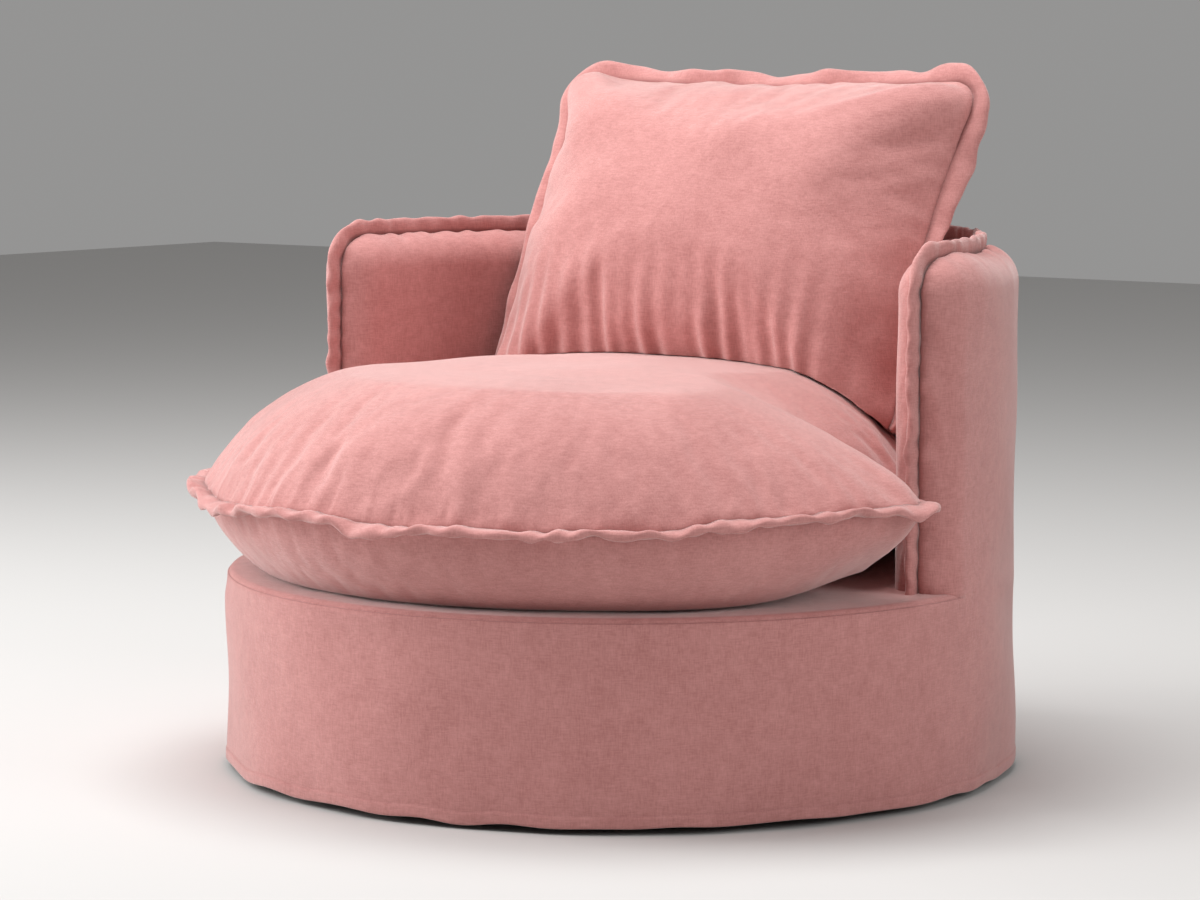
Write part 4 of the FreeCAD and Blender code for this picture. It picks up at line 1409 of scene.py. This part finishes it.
def height_map(piece: bpy.types.Object) -> Array:
    """The highest point of a piece over each cell of a square grid round the Z axis.

    A cell is raised to its neighbours' height less 0.5 mm, which fills cells
    that hold no point.

    Args:
        piece: the object.

    Returns:
        Heights, as cells along X by cells along Y.
    """
    points = read_points(piece)
    count = int(2 * MAP_HALF / MAP_CELL)
    index = np.clip(((points[:, :2] + MAP_HALF) / MAP_CELL).astype(int), 0, count - 1)
    grid = np.full((count, count), -1.0)
    np.maximum.at(grid, (index[:, 0], index[:, 1]), points[:, 2])
    for axis in (0, 1):
        for way in (1, -1):
            grid = np.maximum(grid, np.roll(grid, way, axis) - 0.0005)
    return grid


@dataclass
class BackCushion(Cushion):
    """The loose back cushion, leaning on the wall and pressed onto the seat."""

    wide: float = 0.322
    tall: float = 0.228
    corner: float = 0.038
    draw_in: float = 0.012
    front_crown: float = 0.115
    rear_crown: float = 0.134
    recline: float = math.radians(28.4)
    middle: Triple = (0.0, 0.235, 0.6643)
    flange_width: float = 0.022
    flange_start: tuple[float, float] = (0.316, -0.206)
    wall_inside: float = 0.410
    wall_middle: float = 0.455
    wall_shoulder: float = 0.613
    wall_top: float = 0.046
    sink: float = 0.052

    def axes(self) -> tuple[Array, Array, Array]:
        """The cushion's own directions.

        Returns:
            To its right, up its face, and out of its front.
        """
        across = np.array([1.0, 0.0, 0.0])
        up = np.array([0.0, math.sin(self.recline), math.cos(self.recline)])
        return across, up, np.cross(across, up)

    def placed(self, own: Array) -> Array:
        """Moves points from the cushion's own frame to where it leans.

        Args:
            own: points of its own frame, on the last axis.

        Returns:
            Their places.
        """
        across, up, out = self.axes()
        reach = own[..., :1] * across + own[..., 1:2] * up + own[..., 2:] * out
        return np.array(self.middle) + reach

    def owned(self, points: Array) -> Array:
        """Points in the cushion's own frame."""
        return (points - np.array(self.middle)) @ np.stack(self.axes()).T

    def outline(self) -> Array:
        """The seam in its own plane, anticlockwise.

        It is a rectangle with round corners, whose sides are drawn in by parabolas.

        Returns:
            Points by 2, evenly spaced.
        """
        quarter = math.pi / 2
        x, y = self.wide - self.corner, self.tall - self.corner
        corners = [arc((sign_x * x, sign_y * y), self.corner, step * quarter, (step + 1) * quarter)
                   for step, (sign_x, sign_y) in enumerate(((1, 1), (-1, 1), (-1, -1), (1, -1)))]
        ring = evenly(np.vstack(corners), 760)
        x, y = ring[:, 0] / self.wide, ring[:, 1] / self.tall
        side = (np.abs(x) > 0.995) * np.clip(1 - (y / 0.834) ** 2, 0, 1)
        flat = (np.abs(y) > 0.99) * np.clip(1 - (x / 0.882) ** 2, 0, 1)
        ring -= self.draw_in * np.stack([np.sign(x) * side, np.sign(y) * flat], -1)
        return evenly(ring, 760)

    def shell(self) -> bpy.types.Object:
        """The cushion before it is puffed up: two crowned panels.

        Returns:
            The closed mesh.
        """
        outline = self.outline()
        work = Patchwork()
        for depth in (self.front_crown - 0.008, 0.012 - self.rear_crown):
            panel = crowned(outline, BACK_PANEL, np.zeros(2), (self.wide, self.tall), depth)
            shape = self.placed(panel)
            work.add(shape, shape - np.array(self.middle), 0.0, False, True)
        return work.sew("back_cushion")

    def near_seam(self, own: Array, outline: Array) -> tuple[Array, Array]:
        """Direction about the middle and distance from the seam."""
        turn, inward = inside_seam(own[:, :2], outline)
        return turn, np.hypot(inward, own[:, 2])

    def pleat(self, piece: bpy.types.Object, outline: Array) -> None:
        """Sets in pleats off the seam, upright ones above the seat, and soft dents.

        Points move along their normals by noise that runs round the seam and
        fades off it, stronger at the corners, by noise across the low front, and
        by slow noise away from the seam. The seam's crease is marked.

        Args:
            piece: the cushion.
            outline: the seam in its own plane.
        """
        points, normals = read_points(piece), read_normals(piece)
        own = self.owned(points)
        turn, away = self.near_seam(own, outline)
        ring = around(turn) * 0.30
        corner = ease(np.abs(own[:, 0]), 0.16, 0.30) * ease(np.abs(own[:, 1]), 0.08, 0.20)
        fade = 1 - np.exp(-((away / 0.012) ** 2))
        fine = hum(ring, 0.040, 71) * np.exp(-away / 0.028)
        broad = hum(ring, 0.10, 72) * np.exp(-away / 0.085)
        dents = hum(own, 0.15, 73) * ease(away, 0.02, 0.12)
        upright = hum(own[:, :1], 0.040, 75) * ease(-own[:, 1], 0.04, 0.19) * (own[:, 2] > 0)
        pleats = (0.0014 + 0.0010 * corner) * fine + (0.0024 + 0.0030 * corner) * broad
        offset = fade * (pleats + 0.0022 * upright) + 0.0016 * dents
        place_points(piece, points + normals * offset[:, None])
        # The crease near the seam is painted as shade by the velvet.
        write(piece, CREASE, np.exp(-((away / 0.0045) ** 2)))

    def slump(self, points: Array) -> Array:
        """Lets the lower corners sink beside the seat cushion's crown.

        Args:
            points: points by 3.

        Returns:
            Their new places.
        """
        own = self.owned(points)
        share = ease(-own[:, 1], 0.02, 0.19) * ease(np.abs(own[:, 0]), 0.10, 0.27)
        sunk = points.copy()
        sunk[:, 2] -= self.sink * share
        return sunk

    def press(self, points: Array, ground: Array, gap: float) -> Array:
        """Pushes points off the seat cushion below and the wall behind.

        A point below the seat's surface is raised to it. One inside the wall
        is moved in, or away from the middle of the wall's round top.

        Args:
            points: points by 3.
            ground: the seat cushion's height map.
            gap: the clearance that is left.

        Returns:
            The points' new places.
        """
        spot = (points[:, :2] + MAP_HALF) / MAP_CELL - 0.5
        low = np.clip(np.floor(spot).astype(int), 0, len(ground) - 2)
        part = np.clip(spot - low, 0, 1)
        i, j, u, v = low[:, 0], low[:, 1], part[:, 0], part[:, 1]
        floor = ((1 - u) * (1 - v) * ground[i, j] + u * (1 - v) * ground[i + 1, j]
                 + (1 - u) * v * ground[i, j + 1] + u * v * ground[i + 1, j + 1])
        pressed = points.copy()
        pressed[:, 2] = np.maximum(points[:, 2], floor + gap)
        radius = np.hypot(points[:, 0], points[:, 1])
        behind = points[:, 1] > 0
        inner = self.wall_inside - gap - 0.001
        lower = pressed[:, 2] < self.wall_shoulder
        below = behind & lower & (radius > inner)
        pressed[:, :2] *= np.where(below, inner / radius, 1)[:, None]
        off = np.stack([radius - self.wall_middle, pressed[:, 2] - self.wall_shoulder], -1)
        distance = np.linalg.norm(off, axis=1)
        reach = self.wall_top + gap
        above = behind & ~lower & (distance < reach)
        bent = off * (reach / np.maximum(distance, 1e-6))[:, None]
        pressed[:, :2] *= np.where(above, (self.wall_middle + bent[:, 0]) / radius, 1)[:, None]
        pressed[:, 2] = np.where(above, self.wall_shoulder + bent[:, 1], pressed[:, 2])
        return pressed

    def flange(self, outline: Array, ground: Array) -> bpy.types.Object:
        """The flange up one side, over the top and down the other side.

        It starts where the seam leaves the seat cushion and tapers there.

        Args:
            outline: the seam in its own plane.
            ground: the seat cushion's height map.

        Returns:
            The flange.
        """
        closed = evenly(outline, 700)
        start = math.atan2(self.flange_start[1], self.flange_start[0])
        turn = (np.arctan2(closed[:, 1], closed[:, 0]) - start) % (2 * math.pi)
        order = np.argsort(turn)
        ring = closed[order[turn[order] < math.pi - 2 * start]]
        out = away_from(np.gradient(ring, axis=0))
        across, up, front = self.axes()
        path = self.placed(lift(ring, 0.0))
        out_world = out[:, :1] * across + out[:, 1:] * up
        run = np.linspace(0, 1, len(ring))
        taper = ease(run, 0, 0.03) * ease(1 - run, 0, 0.03)
        corner = ease(np.abs(ring[:, 0]), 0.22, 0.31) * ease(ring[:, 1], 0.10, 0.20)
        sway = 0.0020 * hum(ring, 0.062, 81) + 0.0040 * hum(ring, 0.15, 82)
        wide = self.flange_width * (1 + 0.08 * hum(ring, 0.08, 83)) * (0.25 + 0.75 * taper)
        fat = 1 + 0.12 * hum(ring, 0.04, 84) + 0.5 * corner
        section = flange_section(RUFFLE, wide, 0.0038 * fat, sway, 1.3)
        made = ribbon("back_flange_ruffle", path, out_world, np.broadcast_to(front, path.shape),
                      section, False)
        place_points(made, self.press(self.slump(read_points(made)), ground, 0.0008))
        return made

    def build(self, wardrobe: Wardrobe, seat: bpy.types.Object) -> None:
        """Makes and dresses the cushion and its flange.

        The seam and what lies low are held while it is puffed up.

        Args:
            wardrobe: where its finish comes from.
            seat: the seat cushion that it rests on.
        """
        ground = height_map(seat)
        piece = self.shell()
        outline = self.outline()
        self.remesh(piece)
        points = read_points(piece)
        own = self.owned(points)
        away = self.near_seam(own, outline)[1]
        held = np.where((away < 0.007) | (points[:, 2] < 0.50), 1.0, 0.0)
        cap = np.where(own[:, 2] > 0, 0.026, 0.016) * ease(away, 0.0, 0.05)
        place_points(piece, self.inflate(piece, held, cap))
        self.refine(piece)
        self.pleat(piece, outline)
        place_points(piece, self.press(self.slump(read_points(piece)), ground, 0.0010))
        wardrobe.dress(piece, "velvet", "back_cushion", "back_cover", "back_wrap", "back_pad")
        wardrobe.dress(self.flange(outline, ground), "velvet", "back_cushion", "back_flange")


@dataclass
class Underside:
    """The black cloth under the drum, stapled tight round the bearing."""

    inner: float = 0.205
    outer: float = 0.4765
    level: float = 0.0335
    thickness: float = 0.0006

    def build(self, wardrobe: Wardrobe) -> None:
        """Makes and dresses the cloth: a flat ring that sags a little between its edges.

        Args:
            wardrobe: where its finish comes from.
        """
        turn = np.linspace(0, 2 * math.pi, 256, endpoint=False)
        share = np.linspace(0, 1, 24)
        radius = (self.inner + (self.outer - self.inner) * share)[:, None]
        spots = radius[..., None] * around(turn)
        middle = np.sin(math.pi * share)[:, None]
        sag = -0.0012 * middle * (1 + 0.3 * hum(spots, 0.12, 91))
        work = Patchwork()
        work.add(lift(spots, self.level + sag), -UP, 0.0, False, True)
        cloth = work.sew("dust_cloth")
        thicken(cloth, self.thickness, 0)
        wardrobe.dress(cloth, "dust_cloth", "chair", "dust_cover")


@dataclass
class Studio:
    """Pale floor, soft lamps and the camera of the photograph."""

    location: Triple = (3.0325, -4.0411, 0.92846)
    heading: float = math.radians(36.885) + 0.0052
    pitch: float = 0.1047
    lens: float = 119.66
    target: Triple = (0, 0, 0.4)
    ambient: float = 0.30

    def lamp(self, name: str, place: Triple, size: float, power: float) -> None:
        """A soft square lamp that points at the chair.

        Args:
            name: the lamp's name.
            place: where it stands.
            size: its side.
            power: its power in watts.
        """
        data = bpy.data.lights.new(name, "AREA")
        data.shape = "SQUARE"
        data.size = size
        data.energy = power
        made = bpy.data.objects.new(name, data)
        bpy.context.scene.collection.objects.link(made)
        made.location = place
        ahead = Vector(self.target) - Vector(place)
        made.rotation_euler = ahead.to_track_quat("-Z", "Y").to_euler()

    def floor(self) -> None:
        """A pale floor that shows the same to the camera and to the chair."""
        work = Patchwork()
        edge = np.linspace(-9, 9, 3)
        x, y = np.meshgrid(edge, edge)
        work.add(np.stack([x, y, np.zeros_like(x)], -1), UP)
        floor = work.sew("floor")
        paint = Board("floor_paint").finish(Base_Color=(0.58, 0.57, 0.56), Roughness=0.9)
        floor.data.materials.append(paint)
        floor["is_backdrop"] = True

    def build(self) -> None:
        """Sets up the floor, the lamps, the world and the camera."""
        scene = bpy.context.scene
        self.floor()
        self.lamp("key", (-2.0, -2.7, 4.0), 2.8, 122)
        self.lamp("side", (-4.2, -1.9, 1.5), 2.2, 140)
        self.lamp("fill", (4.6, 0.2, 2.4), 2.4, 66)
        self.lamp("top", (-0.4, 0.2, 4.2), 2.4, 134)
        world = bpy.data.worlds.new("studio")
        world.use_nodes = True
        sky = world.node_tree.nodes["Background"].inputs
        sky["Color"].default_value = (1.0, 0.99, 0.98, 1.0)
        sky["Strength"].default_value = self.ambient
        scene.world = world
        data = bpy.data.cameras.new("camera")
        data.sensor_width = 36
        data.lens = self.lens
        camera = bpy.data.objects.new("camera", data)
        scene.collection.objects.link(camera)
        camera.location = self.location
        flat = Vector((-math.sin(self.heading), math.cos(self.heading), 0.0)) * math.cos(self.pitch)
        ahead = flat + Vector((0, 0, -math.sin(self.pitch)))
        camera.rotation_euler = ahead.to_track_quat("-Z", "Y").to_euler()
        scene.camera = camera
        scene.view_settings.view_transform = "Standard"


def main() -> None:
    """Builds the chair piece by piece."""
    logging.basicConfig(level=logging.INFO, format="%(name)s: %(message)s")
    wardrobe = Wardrobe()
    wardrobe.dress_nodes()
    Upholstery().build(wardrobe)
    seat = SeatCushion().build(wardrobe)
    BackCushion().build(wardrobe, seat)
    Underside().build(wardrobe)
    Studio().build()
    boxes = {"cad": CAD_BOX, "visual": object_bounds()}
    for key, box in boxes.items():
        LOG.info("%s box: %s", key, [[round(x, 4) for x in corner] for corner in box])


if __name__ == "__main__":
    main()
